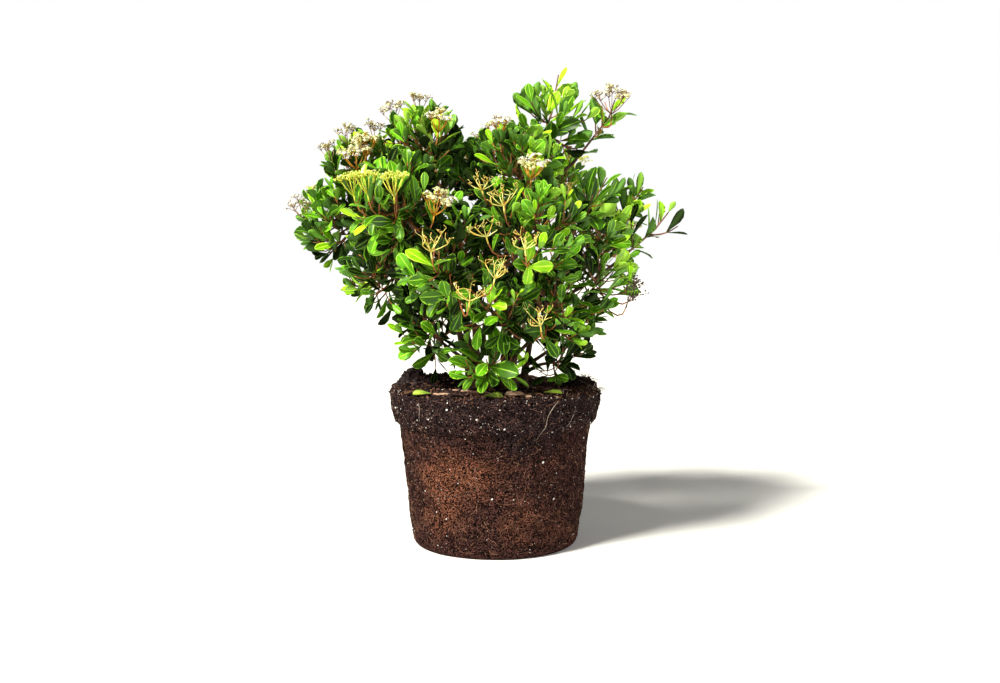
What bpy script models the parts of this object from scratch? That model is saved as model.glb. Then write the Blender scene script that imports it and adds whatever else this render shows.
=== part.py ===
"""A many-stemmed viburnum shrub standing on its pot-shaped root ball.

Every solid is its own object: the root ball, the stems, the boughs, and the masses of leaves and
blossom that the stems and boughs carry. Metres, +Z up. The origin is the middle of the root ball's
flat underside, and the front of the shrub faces -Y.
"""

import math
import random
from collections import namedtuple

import bmesh
import bpy
from mathutils import Matrix, Vector
from mathutils.bvhtree import BVHTree

# Root ball: the soil of a three gallon nursery pot, with the mould of the pot's rim round its top.
# Its side bulges and draws in at these shares of the height of its waist, the step under the rim.
BALL_HEIGHT = 0.207
BALL_FOOT_RADIUS = 0.108
BALL_WAIST_RADIUS = 0.126
BALL_RIM_RADIUS = 0.139
RIM_DEPTH = 0.044
RIM_STEP = 0.006
SIDE_BULGE = 0.62
SIDE_HOLLOW = 0.30
FOOT_CHAMFER = 0.004
SOIL_CORNER = 0.006
SOIL_SHOULDER = 0.024
FLAT_SOIL_RADIUS = 0.082
BALL_STEPS = 36
LUMP_SIZE = 0.035
LUMP_DEPTH = 0.0045
LUMP_MIDDLE = 0.5
SOIL_MOUND = 0.012
SOIL_MIDDLE = 0.3

# Clearances between neighbouring solids.
SEAT_GAP = 0.0003
LIMB_CLEARANCE = 0.0010
SPACE_CLEARANCE = 0.0006
BARRIER_SIDES = 8

# Stems and boughs. A stem's knee is the share of its height at which it bends outward. A bough
# leaves its stem outward, along the stem and upward in these shares, and then turns to its mass.
FOOT_HEIGHT = 0.006
FLARE = 1.55
STEM_KNEE = 0.60
BOUGH_OUT = 0.75
BOUGH_ALONG = 0.45
BOUGH_RISE = 0.15
BOUGH_BEND = 0.40
STEM_POINTS = 8
BOUGH_POINTS = 5
STEM_RESOLUTION = 2
BOUGH_RESOLUTION = 1
STEM_TIP_RADIUS = 0.0023
BOUGH_FOOT_RADIUS = 0.0030
BOUGH_TIP_RADIUS = 0.0019

# Leaves, as wide as LEAF_WIDTH at their widest. Each stands for two of the real ones. The outline
# and the crest are given in shares of the length and width, and the sizes are tried in turn.
LEAF_LENGTH = 0.046
LEAF_WIDTH = 0.024
LEAF_THICKNESS = 0.0016
LEAF_DROOP = 0.0060
LEAF_OUTLINE = ((0.0, 0.0), (0.56, -0.50), (0.97, -0.25), (0.97, 0.25), (0.56, 0.50))
LEAF_CREST = 0.32
LEAF_SINK = 0.0005
LEAF_BARE = 0.0030
LEAF_SIZES = (1.04, 0.90, 0.78)
LEAF_SIZE_SWAY = 0.05
LEAF_LIFT = 0.12

# Stalks and twigs. Pairs of leaves open at these angles in degrees, from a shoot's foot to its tip.
STALK_LENGTH = 0.034
STALK_RADIUS = 0.0017
STALK_PAIR_SPACING = 0.017
TWIG_SIDES = 3
TWIG_RADIUS = 0.0013
TWIG_TIP_RADIUS = 0.0009
TWIG_LIFT = 0.25
FIRST_TWIG = 0.30
LAST_TWIG = 0.95
PAIR_ANGLES = (72, 56, 32)
PAIR_ANGLE_SWAY = 7
PAIR_SPACING = 0.009

# Sprays, each a twig with its leaves. Of the ways that a mass's twigs could go, those too far down
# or too close to its stalk's top are left out.
SPRAY_WAYS = 9
LOWEST_WAY = -0.4
HIGHEST_WAY = 0.9
SPRAY_ROOM = 0.024
SPRAY_LEAST_LENGTH = 0.012
SPRAY_LEAST_LEAVES = 2

# Cymes, the flat-topped heads of blossom.
CYME_STALK = 0.020
CYME_RADIUS = 0.021
CYME_HEIGHT = 0.011
CYME_DOME = 0.003
CYME_LOBES = 5
CYME_NOTCH = 0.78
CYME_LIFT = 0.60

Stem = namedtuple("Stem", "name bearing reach radius lean leader")
MASS_FIELDS = "name bearing reach height spread stem fork cymes stalk"
Mass = namedtuple("Mass", MASS_FIELDS, defaults=(STALK_LENGTH,))
Limb = namedtuple("Limb", "name points radii")
Shoot = namedtuple("Shoot", "root tip mesh")

# Bearings are degrees seen from above: 0 is right, 90 back, 180 left and 270 the front. A stem's
# reach is that of its foot, its lean the share of its whole way out that it has gone at its knee,
# and its leader the mass that it ends in.
STEMS = (
    Stem("left", 186, 0.034, 0.0046, 0.18, "left_shoulder"),
    Stem("front_left", 232, 0.040, 0.0042, 0.17, "left_front"),
    Stem("front", 292, 0.036, 0.0043, 0.15, "front_right"),
    Stem("right", 342, 0.040, 0.0047, 0.19, "right_shoulder"),
    Stem("centre", 20, 0.013, 0.0058, 0.15, "tall_shoot"),
    Stem("back_left", 128, 0.036, 0.0045, 0.18, "back_left_top"),
    Stem("back_right", 50, 0.038, 0.0045, 0.18, "back_right_top"),
    Stem("low", 264, 0.062, 0.0026, 0.20, "front_base"),
)

# The heart of each mass: its bearing, reach and height. Then how far its leaves spread round it,
# the stem that bears it, the share of that stem's run at which its bough forks off, how many
# cymes of blossom stand out of it, and on a slim sprig the length of its own leafy stalk.
MASSES = (
    Mass("far_left", 176, 0.208, 0.424, 0.062, "left", 0.58, 1),
    Mass("left_shoulder", 171, 0.172, 0.484, 0.066, "left", 1.0, 3),
    Mass("left_top", 178, 0.096, 0.518, 0.066, "centre", 0.40, 3),
    Mass("left_front", 226, 0.165, 0.436, 0.074, "front_left", 1.0, 2),
    Mass("left_low", 197, 0.150, 0.362, 0.062, "left", 0.38, 0),
    Mass("left_base", 203, 0.100, 0.288, 0.056, "left", 0.22, 0),
    Mass("front_left", 250, 0.146, 0.366, 0.074, "front_left", 0.52, 1),
    Mass("front_low", 271, 0.120, 0.312, 0.064, "front_left", 0.28, 1, 0.026),
    Mass("front_base", 266, 0.104, 0.240, 0.056, "low", 1.0, 0, 0.022),
    Mass("front_right", 290, 0.140, 0.402, 0.074, "front", 1.0, 1),
    Mass("front_top", 290, 0.090, 0.478, 0.070, "front", 0.45, 1),
    Mass("low_front_right", 306, 0.122, 0.318, 0.064, "front", 0.26, 0),
    Mass("front_right_base", 322, 0.104, 0.243, 0.054, "right", 0.18, 0, 0.024),
    Mass("centre_top", 110, 0.030, 0.480, 0.068, "centre", 0.55, 1),
    Mass("tall_shoot", 2, 0.074, 0.563, 0.066, "centre", 1.0, 0),
    Mass("high_right", 8, 0.152, 0.560, 0.040, "centre", 0.76, 1, 0.070),
    Mass("right_shoulder", 343, 0.122, 0.430, 0.070, "right", 1.0, 0),
    Mass("right_sprig", 10, 0.186, 0.446, 0.046, "right", 0.66, 0, 0.050),
    Mass("far_right", 355, 0.208, 0.412, 0.046, "right", 0.50, 0, 0.065),
    Mass("right_low", 338, 0.138, 0.340, 0.062, "right", 0.34, 0),
    Mass("right_base", 345, 0.100, 0.282, 0.058, "right", 0.22, 0),
    Mass("back_left_top", 128, 0.125, 0.476, 0.072, "back_left", 1.0, 1),
    Mass("back_left", 143, 0.165, 0.394, 0.074, "back_left", 0.48, 0),
    Mass("back_left_low", 138, 0.112, 0.312, 0.064, "back_left", 0.26, 0),
    Mass("back_right_top", 58, 0.125, 0.472, 0.072, "back_right", 1.0, 1),
    Mass("back_middle", 92, 0.150, 0.392, 0.076, "back_right", 0.56, 1),
    Mass("back_right", 35, 0.160, 0.384, 0.074, "back_right", 0.40, 0),
    Mass("back_right_low", 66, 0.115, 0.308, 0.064, "back_right", 0.24, 0),
)

CROWN_HEART = Vector((0.0, 0.0, 0.360))
UP = Vector((0.0, 0.0, 1.0))
LEAF_FLOOR = BALL_HEIGHT + 0.008


def clear_scene():
    for obj in list(bpy.data.objects):
        bpy.data.objects.remove(obj, do_unlink=True)


def material(name, colour, roughness):
    made = bpy.data.materials.new(name)
    made.use_nodes = True
    shader = made.node_tree.nodes["Principled BSDF"]
    shader.inputs["Base Color"].default_value = (*colour, 1.0)
    shader.inputs["Roughness"].default_value = roughness
    shader.inputs["Metallic"].default_value = 0.0
    return made


def put(collection, name, data):
    """A new object of this mesh or curve, linked to the collection."""
    obj = bpy.data.objects.new(name, data)
    collection.objects.link(obj)
    return obj


def place_at(bearing, reach, height):
    angle = math.radians(bearing)
    return Vector((reach * math.cos(angle), reach * math.sin(angle), height))


def frame_along(direction, facing):
    """A rotation whose X runs along direction and whose Z faces as near to facing as it can."""
    x = direction.normalized()
    y = facing.cross(x)
    if y.length < 1e-4:
        y = x.orthogonal()
    y.normalize()
    return Matrix((x, y, x.cross(y))).transposed()


def face_outward(shape):
    bmesh.ops.recalc_face_normals(shape, faces=shape.faces)
    if shape.calc_volume(signed=True) < 0:
        bmesh.ops.reverse_faces(shape, faces=shape.faces)


def tube(points, radii, sides):
    """A closed bmesh tube along the points: a capped ring, drawn out from joint to joint."""
    shape = bmesh.new()
    bmesh.ops.create_circle(shape, cap_ends=True, segments=sides, radius=1.0)
    shape.faces.ensure_lookup_table()
    cap = shape.faces[0]
    centre, heading, size = Vector(), UP, 1.0
    for index, (point, radius) in enumerate(zip(points, radii)):
        if index:
            drawn = bmesh.ops.extrude_face_region(shape, geom=[cap, *cap.edges])["geom"]
            cap = next(part for part in drawn if isinstance(part, bmesh.types.BMFace))
        ahead = (points[min(index + 1, len(points) - 1)] - points[max(index - 1, 0)]).normalized()
        turn = heading.rotation_difference(ahead).to_matrix().to_4x4()
        move = Matrix.Translation(point) @ turn @ Matrix.Scale(radius / size, 4)
        bmesh.ops.transform(shape, matrix=move @ Matrix.Translation(-centre), verts=cap.verts)
        centre, heading, size = point, ahead, radius
    face_outward(shape)
    return shape


# Root ball


def ball_profile():
    """The ball's outline from the soil's middle, down its side to its foot, as (radius, height)."""
    rim_bottom = BALL_HEIGHT - RIM_DEPTH
    waist = rim_bottom - RIM_STEP
    half_way = (BALL_WAIST_RADIUS + BALL_FOOT_RADIUS) / 2
    return (
        (0.0, BALL_HEIGHT),
        (FLAT_SOIL_RADIUS / 2, BALL_HEIGHT),
        (FLAT_SOIL_RADIUS, BALL_HEIGHT),
        (BALL_RIM_RADIUS - SOIL_SHOULDER, BALL_HEIGHT),
        (BALL_RIM_RADIUS - SOIL_CORNER, BALL_HEIGHT - SOIL_CORNER / 4),
        (BALL_RIM_RADIUS, BALL_HEIGHT - SOIL_CORNER),
        (BALL_RIM_RADIUS - RIM_STEP / 3, rim_bottom + RIM_DEPTH / 2),
        (BALL_RIM_RADIUS - RIM_STEP, rim_bottom),
        (BALL_WAIST_RADIUS, waist),
        (half_way + RIM_STEP / 4, waist * SIDE_BULGE),
        (half_way - RIM_STEP / 3, waist * SIDE_HOLLOW),
        (BALL_FOOT_RADIUS, FOOT_CHAMFER),
        (BALL_FOOT_RADIUS - FOOT_CHAMFER, 0.0),
        (0.0, 0.0),
    )


def build_root_ball(collection, finish):
    """A turned profile, roughened by clouded displacements that leave its foot and middle flat."""
    profile = ball_profile()
    mesh = bpy.data.meshes.new("root_ball")
    points = [(radius, 0.0, height) for radius, height in profile]
    mesh.from_pydata(points, [(i, i + 1) for i in range(len(points) - 1)], [])
    mesh.materials.append(finish)
    ball = put(collection, "root_ball", mesh)
    turn = ball.modifiers.new("turn", "SCREW")
    turn.steps = BALL_STEPS
    turn.render_steps = BALL_STEPS
    turn.use_merge_vertices = True
    turn.merge_threshold = 0.0001
    turn.use_smooth_shade = True

    soil_edge = BALL_HEIGHT - SOIL_CORNER / 2
    sides = ball.vertex_groups.new(name="sides")
    soil = ball.vertex_groups.new(name="soil")
    for index, (radius, height) in enumerate(profile):
        if radius > FLAT_SOIL_RADIUS and height > 0.0:
            group = soil if height > soil_edge else sides
            group.add([index], 1.0, "ADD")
    lumps = bpy.data.textures.new("lumps", "CLOUDS")
    lumps.noise_scale = LUMP_SIZE
    for group, direction, strength, middle in (
        (sides, "NORMAL", LUMP_DEPTH, LUMP_MIDDLE),
        (soil, "Z", SOIL_MOUND, SOIL_MIDDLE),
    ):
        rough = ball.modifiers.new("rough_" + group.name, "DISPLACE")
        rough.texture = lumps
        rough.vertex_group = group.name
        rough.direction = direction
        rough.strength = strength
        rough.mid_level = middle


# Stems and boughs


def bend(start, middle, end, count):
    """Points along the quadratic curve from start to end that middle draws aside."""
    points = []
    for step in range(count):
        t = step / (count - 1)
        points.append(start.lerp(middle, t).lerp(middle.lerp(end, t), t))
    return points


def heart_of(mass):
    return place_at(mass.bearing, mass.reach, mass.height)


def stem_limb(stem, leader):
    """From a level cut on the soil, up and out to where the leader's leaves begin."""
    foot = place_at(stem.bearing, stem.reach, BALL_HEIGHT + SEAT_GAP)
    heart = heart_of(leader)
    knee = foot.lerp(heart, stem.lean)
    knee.z = foot.z + (heart.z - foot.z) * STEM_KNEE
    tip = heart - (heart - knee).normalized() * leader.stalk
    points = [foot] + bend(foot + UP * FOOT_HEIGHT, knee, tip, STEM_POINTS - 1)
    radii = []
    for index in range(STEM_POINTS):
        radii.append(stem.radius + (STEM_TIP_RADIUS - stem.radius) * index / (STEM_POINTS - 1))
    radii[0] *= FLARE
    radii[1] *= (1 + FLARE) / 2
    return Limb("stem_" + stem.name, points, radii)


def point_along(limb, share):
    """Where the limb is at this share of its run, and which way it goes there."""
    at = share * (len(limb.points) - 1)
    index = min(int(at), len(limb.points) - 2)
    start, end = limb.points[index], limb.points[index + 1]
    return start.lerp(end, at - index), (end - start).normalized()


def distance_to_limb(point, limb):
    """How far the point is from the limb's skin; below 0 is inside it."""
    nearest = math.inf
    for index in range(len(limb.points) - 1):
        start, end = limb.points[index], limb.points[index + 1]
        run = end - start
        share = max(0.0, min(1.0, (point - start).dot(run) / run.length_squared))
        radius = limb.radii[index] * (1 - share) + limb.radii[index + 1] * share
        nearest = min(nearest, (point - start - run * share).length - radius)
    return nearest


def seat_beside(start, direction, radius, limb):
    """The start of a shoot of this direction and radius, moved along it until it clears the limb."""
    side = direction.orthogonal().normalized() * radius
    ring = [Vector()]
    for corner in range(BARRIER_SIDES):
        ring.append(Matrix.Rotation(math.tau * corner / BARRIER_SIDES, 3, direction) @ side)
    while min(distance_to_limb(start + corner, limb) for corner in ring) < SEAT_GAP:
        start = start + direction * SEAT_GAP / 3
    return start


def bough_limb(mass, stem):
    """From beside its stem, out and up to where the mass's leaves begin."""
    start, along = point_along(stem, mass.fork)
    heart = heart_of(mass)
    aim = (heart - start).normalized()
    leaving = (aim - along * aim.dot(along)).normalized()
    direction = (leaving * BOUGH_OUT + along * BOUGH_ALONG + UP * BOUGH_RISE).normalized()
    radius = BOUGH_FOOT_RADIUS
    start = seat_beside(start, direction, radius, stem)
    middle = start + direction * (heart - start).length * BOUGH_BEND
    tip = heart - (heart - middle).normalized() * mass.stalk
    points = [start] + bend(start + direction * radius, middle, tip, BOUGH_POINTS - 1)
    radii = []
    for index in range(BOUGH_POINTS):
        radii.append(radius + (BOUGH_TIP_RADIUS - radius) * index / (BOUGH_POINTS - 1))
    return Limb("bough_" + mass.name, points, radii)


def grow_limbs():
    """Every stem and bough, and which of them carries each mass."""
    limbs, carriers = [], {}
    for stem in STEMS:
        leader = next(mass for mass in MASSES if mass.name == stem.leader)
        limb = stem_limb(stem, leader)
        limbs.append(limb)
        carriers[leader] = limb
        for mass in MASSES:
            if mass.stem == stem.name and mass is not leader:
                carriers[mass] = bough_limb(mass, limb)
                limbs.append(carriers[mass])
    return limbs, carriers


def build_limb(collection, limb, resolution, finish):
    """A tapering tube of round section with flat ends."""
    curve = bpy.data.curves.new(limb.name, "CURVE")
    curve.dimensions = "3D"
    curve.bevel_depth = 1.0
    curve.bevel_resolution = resolution
    curve.use_fill_caps = True
    spline = curve.splines.new("POLY")
    spline.points.add(len(limb.points) - 1)
    for target, point, radius in zip(spline.points, limb.points, limb.radii):
        target.co = (*point, 1.0)
        target.radius = radius
    curve.materials.append(finish)
    put(collection, limb.name, curve)


# Masses of leaves


def stalk_limb(mass, carrier):
    """The mass's own stem, from its seat on the limb's flat tip to the mass's heart."""
    tip, heart = carrier.points[-1], heart_of(mass)
    direction = (heart - tip).normalized()
    lean = direction.angle(tip - carrier.points[-2])
    start = tip + direction * (SEAT_GAP + STALK_RADIUS * math.sin(lean)) / math.cos(lean)
    return Limb("stalk_" + mass.name, [start, heart], [STALK_RADIUS, TWIG_RADIUS])


def leaf_shape(root):
    """A blade along X that starts at root: a flat cone whose base is drawn into the outline."""
    shape = bmesh.new()
    corners = len(LEAF_OUTLINE)
    bmesh.ops.create_cone(shape, cap_ends=True, segments=corners, radius1=1.0, radius2=0.0, depth=2.0)
    ring = [None] * corners
    for vert in shape.verts:
        if vert.co.z > 0:
            along, across, rise = LEAF_CREST, 0.0, LEAF_THICKNESS
        else:
            corner = round(math.atan2(vert.co.y, vert.co.x) / math.tau * corners) % corners
            ring[corner] = vert
            along, across = LEAF_OUTLINE[corner]
            rise = 0.0
        vert.co = Vector((along * LEAF_LENGTH, across * LEAF_WIDTH, rise - LEAF_DROOP * along**2))
    ring[0].co.x = root
    bmesh.ops.connect_verts(shape, verts=[ring[1], ring[-1]])
    face_outward(shape)
    return shape


def cyme_shape():
    """A flat-topped head of blossom on an upturned cone, with lobes round its edge."""
    shape = bmesh.new()
    corners = 2 * CYME_LOBES
    bmesh.ops.create_uvsphere(shape, u_segments=corners, v_segments=2, radius=1.0)
    for vert in shape.verts:
        if abs(vert.co.z) > 0.5:
            vert.co = Vector((0.0, 0.0, CYME_DOME if vert.co.z > 0 else -CYME_HEIGHT))
        else:
            corner = round(math.atan2(vert.co.y, vert.co.x) / math.tau * corners)
            vert.co *= CYME_RADIUS * (1.0 if corner % 2 else CYME_NOTCH)
    face_outward(shape)
    return shape


def spiral_of_directions(count):
    """Directions spread evenly over a ball, in a spiral from the top down."""
    golden = math.pi * (3 - math.sqrt(5))
    for k in range(count):
        z = 1 - 2 * (k + 0.5) / count
        flat = math.sqrt(1 - z * z)
        yield Vector((flat * math.cos(golden * k), flat * math.sin(golden * k), z))


class Growth:
    """The twigs, leaves and blossom of one mass, grown by a seeded rule from the mass's stalk.

    The mass keeps to its own space: within its spread of the stalk, on its own side of the flat
    border with every other mass, above the soil, and clear of every limb. What would leave the
    space, or touch a limb or another leaf, is skipped.
    """

    def __init__(self, mass, stalk, barriers):
        self.mass, self.stalk = mass, stalk
        self.heart = heart_of(mass)
        self.outward = (self.heart - CROWN_HEART).normalized()
        self.barriers = barriers
        self.rising = (self.outward + UP).normalized()
        self.rng = random.Random(mass.name)
        self.shapes, self.trees, self.shoots = [], [], []

    def room(self, point, reach):
        """How far inside the mass's space the point is."""
        start, heart = self.stalk.points
        share = max(0.0, min(1.0, (point - start).dot(heart - start) / (heart - start).length_squared))
        room = reach - (point - start.lerp(heart, share)).length
        for other in MASSES:
            if other is not self.mass:
                gap = heart_of(other) - heart
                border = gap.length_squared + self.mass.spread**2 - other.spread**2
                room = min(room, border / (2 * gap.length) - (point - heart).dot(gap.normalized()))
        return min(room, point.z - LEAF_FLOOR)

    def fits(self, shape, avoid, reach):
        """Whether a shape lies in the mass's space, clear of the limbs and of these trees."""
        if min(self.room(vert.co, reach) for vert in shape.verts) < SPACE_CLEARANCE:
            return False
        tree = BVHTree.FromBMesh(shape)
        return not any(tree.overlap(other) for other in self.barriers + avoid)

    def add(self, shape, name):
        """Keeps a shape for the union, and its tree for what grows later to keep clear of."""
        mesh = bpy.data.meshes.new(name)
        shape.to_mesh(mesh)
        self.shapes.append(mesh)
        self.trees.append(BVHTree.FromBMesh(shape))
        return mesh

    def add_leaf(self, root, direction, facing):
        """The largest leaf that fits. Its bare foot is left out of the test, as it is in the twig."""
        turn = frame_along(direction, facing).to_4x4()
        sway = 1 - self.rng.uniform(0, LEAF_SIZE_SWAY)
        for size in LEAF_SIZES:
            place = Matrix.Translation(root) @ turn @ Matrix.Scale(size * sway, 4)
            trial = leaf_shape(LEAF_BARE)
            trial.transform(place)
            fits = self.fits(trial, self.trees, self.mass.spread)
            trial.free()
            if fits:
                leaf = leaf_shape(-LEAF_SINK)
                leaf.transform(place)
                self.add(leaf, "leaf")
                leaf.free()
                return

    def add_pair(self, node, along, turn, angle):
        """Two leaves, one each side of the twig, that turn their upper faces to its tip."""
        side = Matrix.Rotation(turn, 3, along) @ along.orthogonal().normalized()
        for way in (side, -side):
            opening = math.radians(angle + self.rng.uniform(-PAIR_ANGLE_SWAY, PAIR_ANGLE_SWAY))
            direction = along * math.cos(opening) + way * math.sin(opening)
            self.add_leaf(node, direction + (UP + self.outward) * LEAF_LIFT, along)

    def add_spray(self, shoot):
        """Pairs of leaves back from a shoot's tip, each pair a right angle from the last."""
        along = (shoot.tip - shoot.root).normalized()
        turn = self.rng.uniform(0, math.pi)
        for order, angle in enumerate(reversed(PAIR_ANGLES)):
            node = shoot.tip - along * (PAIR_SPACING * order + TWIG_RADIUS)
            if (node - shoot.root).dot(along) > PAIR_SPACING / 2:
                self.add_pair(node, along, turn + order * math.pi / 2, angle)

    def reach_of(self, way):
        """The point furthest this way from the heart where a twig's leaves still have room."""
        length = 0.0
        while self.room(self.heart + way * length, self.mass.spread) > SPRAY_ROOM:
            length += PAIR_SPACING / 4
        return self.heart + way * length

    def grow_twigs(self):
        """Straight twigs from the stalk, the lowest first, that meet neither twig nor limb."""
        start, heart = self.stalk.points
        ways = list(spiral_of_directions(SPRAY_WAYS))
        ways = [way for way in ways if LOWEST_WAY < way.dot(self.rising) < HIGHEST_WAY]
        ways.sort(key=lambda way: way.dot(self.rising))
        for order, way in enumerate(ways):
            share = FIRST_TWIG + (LAST_TWIG - FIRST_TWIG) * order / len(ways)
            root = start.lerp(heart, share)
            tip = self.reach_of((way + UP * TWIG_LIFT).normalized())
            if (tip - root).length > SPRAY_LEAST_LENGTH:
                twig = tube([root, tip], [TWIG_RADIUS, TWIG_TIP_RADIUS], TWIG_SIDES)
                if self.fits(twig, self.trees[1:], self.mass.spread):
                    self.shoots.append(Shoot(root, tip, self.add(twig, "twig")))
                twig.free()

    def add_cyme(self, shoot):
        """A stalk that stands out of the leaves and carries a head of blossom, if they fit."""
        axis = ((shoot.tip - shoot.root).normalized() + UP * CYME_LIFT).normalized()
        fork = shoot.tip + axis * CYME_STALK
        head = cyme_shape()
        turn = frame_along(axis.orthogonal(), axis).to_4x4()
        head.transform(Matrix.Translation(fork + axis * CYME_HEIGHT) @ turn)
        fits = self.fits(head, self.trees, self.mass.spread + CYME_STALK)
        if fits:
            self.add(head, "cyme")
            ends = [shoot.tip - axis * TWIG_RADIUS, fork + axis * TWIG_RADIUS * 2]
            stalk = tube(ends, [TWIG_TIP_RADIUS] * 2, TWIG_SIDES)
            self.add(stalk, "cyme_stalk")
            stalk.free()
        head.free()
        return fits

    def grow_cymes(self):
        """Cymes on the shoots that stand highest and furthest out. Returns those shoots."""
        bearers = []
        for shoot in sorted(self.shoots, key=lambda shoot: -shoot.tip.dot(self.rising)):
            if len(bearers) < self.mass.cymes and self.add_cyme(shoot):
                bearers.append(shoot)
        return bearers

    def grow_leaves(self, bearers):
        """A spray on each shoot. A twig that neither blossom nor enough leaves suit is left out."""
        for shoot in sorted(self.shoots, key=lambda shoot: -shoot.tip.dot(self.rising)):
            before = len(self.shapes)
            self.add_spray(shoot)
            sparse = len(self.shapes) - before < SPRAY_LEAST_LEAVES
            if sparse and shoot.mesh is not None and shoot not in bearers:
                self.shapes = [mesh for mesh in self.shapes[:before] if mesh is not shoot.mesh]

    def add_stalk_leaves(self):
        """Pairs of leaves along the stalk, as many as its length has room for."""
        start, heart = self.stalk.points
        along = (heart - start).normalized()
        pairs = int(self.mass.stalk / STALK_PAIR_SPACING)
        for order in range(1, pairs + 1):
            node = start.lerp(heart, order / (pairs + 0.5))
            self.add_pair(node, along, order * math.pi / 2, PAIR_ANGLES[1])

    def grow(self):
        """The stalk through the heart to its top, its twigs and cymes, and then the leaves."""
        start, heart = self.stalk.points
        top = self.reach_of(self.rising)
        stalk = tube([start, heart, top], [*self.stalk.radii, TWIG_TIP_RADIUS], TWIG_SIDES)
        self.add(stalk, "stalk")
        stalk.free()
        self.shoots.append(Shoot(heart, top, None))
        self.grow_twigs()
        self.grow_leaves(self.grow_cymes())
        self.add_stalk_leaves()


def drop_loose_bodies(mesh):
    """Keeps the mesh's largest body: drops loose scraps, and fills hollows that the union sealed."""
    shape = bmesh.new()
    shape.from_mesh(mesh)
    left, bodies = set(shape.verts), []
    while left:
        body, edge = set(), [left.pop()]
        while edge:
            vert = edge.pop()
            body.add(vert)
            linked = {link.other_vert(vert) for link in vert.link_edges} & left
            left -= linked
            edge += linked
        bodies.append(body)
    bodies.sort(key=len)
    bmesh.ops.delete(shape, geom=[vert for body in bodies[:-1] for vert in body], context="VERTS")
    shape.to_mesh(mesh)
    shape.free()


def build_mass(collection, growth, finish):
    """One union of the mass's stalk with its twigs, leaves and blossom."""
    stalk, *others = growth.shapes
    mass = put(collection, "leaves_" + growth.mass.name, stalk)
    pieces = bpy.data.collections.new(mass.name + "_pieces")
    bpy.context.scene.collection.children.link(pieces)
    for mesh in others:
        put(pieces, mesh.name, mesh)
    join = mass.modifiers.new("join", "BOOLEAN")
    join.operation = "UNION"
    join.operand_type = "COLLECTION"
    join.collection = pieces
    join.solver = "MANIFOLD"
    with bpy.context.temp_override(object=mass, active_object=mass):
        bpy.ops.object.modifier_apply(modifier=join.name)
    for obj in list(pieces.objects):
        bpy.data.objects.remove(obj, do_unlink=True)
    bpy.data.collections.remove(pieces)
    drop_loose_bodies(mass.data)
    mass.data.materials.clear()
    mass.data.materials.append(finish)


def barrier(limb):
    """The skin of a limb with the clearance that leaves keep from it, as a tree to test against."""
    shape = tube(limb.points, [radius + LIMB_CLEARANCE for radius in limb.radii], BARRIER_SIDES)
    tree = BVHTree.FromBMesh(shape)
    shape.free()
    return tree


def main():
    clear_scene()
    shrub = bpy.data.collections.new("viburnum_shrub")
    bpy.context.scene.collection.children.link(shrub)
    soil = material("soil", (0.13, 0.06, 0.035), 0.95)
    bark = material("bark", (0.16, 0.085, 0.05), 0.85)
    foliage = material("foliage", (0.10, 0.26, 0.03), 0.45)

    build_root_ball(shrub, soil)
    limbs, carriers = grow_limbs()
    for limb in limbs:
        resolution = STEM_RESOLUTION if limb.name.startswith("stem_") else BOUGH_RESOLUTION
        build_limb(shrub, limb, resolution, bark)

    stalks = {mass: stalk_limb(mass, carriers[mass]) for mass in MASSES}
    for mass in MASSES:
        near = [stalk for other, stalk in stalks.items() if other is not mass]
        reach = mass.spread + 2 * LEAF_LENGTH + mass.stalk
        near = [limb for limb in limbs + near if distance_to_limb(heart_of(mass), limb) < reach]
        growth = Growth(mass, stalks[mass], [barrier(limb) for limb in near])
        growth.grow()
        build_mass(shrub, growth, foliage)


main()
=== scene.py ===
"""The looks of a many-stemmed viburnum shrub that stands on its pot-shaped root ball.

Stems, boughs and stalks follow the sizes and rules of the solids they replace, and each mass of
leaves grows again by the same rule, carried on to finer twigs. Metres, +Z up, the front at -Y.
"""

import math
import random
from collections import namedtuple
from functools import lru_cache
from itertools import cycle, product

import bpy
import numpy as np
from mathutils import Matrix, Vector, noise
from mathutils.bvhtree import BVHTree


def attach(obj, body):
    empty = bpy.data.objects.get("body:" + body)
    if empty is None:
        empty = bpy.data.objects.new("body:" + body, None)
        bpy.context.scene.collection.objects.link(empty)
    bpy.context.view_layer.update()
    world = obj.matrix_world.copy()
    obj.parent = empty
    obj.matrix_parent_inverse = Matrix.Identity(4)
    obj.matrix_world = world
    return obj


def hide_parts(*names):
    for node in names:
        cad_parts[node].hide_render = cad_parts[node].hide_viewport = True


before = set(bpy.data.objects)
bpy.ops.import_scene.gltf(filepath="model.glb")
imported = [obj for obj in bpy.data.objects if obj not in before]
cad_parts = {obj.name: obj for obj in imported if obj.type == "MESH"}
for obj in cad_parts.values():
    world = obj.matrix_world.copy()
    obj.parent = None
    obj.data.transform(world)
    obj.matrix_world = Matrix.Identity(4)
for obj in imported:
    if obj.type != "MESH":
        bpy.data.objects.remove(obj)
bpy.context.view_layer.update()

# Root ball, as in the solids.
BALL_HEIGHT = 0.207
BALL_FOOT_RADIUS = 0.108
BALL_WAIST_RADIUS = 0.126
BALL_RIM_RADIUS = 0.139
RIM_DEPTH = 0.044
RIM_STEP = 0.006
SIDE_BULGE = 0.62
SIDE_HOLLOW = 0.30
FOOT_CHAMFER = 0.004
SOIL_CORNER = 0.006

# Stems and boughs, as in the solids.
FOOT_HEIGHT = 0.006
FLARE = 1.55
STEM_KNEE = 0.60
BOUGH_OUT = 0.75
BOUGH_ALONG = 0.45
BOUGH_RISE = 0.15
BOUGH_BEND = 0.40
STEM_POINTS = 8
BOUGH_POINTS = 5
STEM_TIP_RADIUS = 0.0023
BOUGH_FOOT_RADIUS = 0.0030
BOUGH_TIP_RADIUS = 0.0019
STALK_LENGTH = 0.034
STALK_RADIUS = 0.0017

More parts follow.
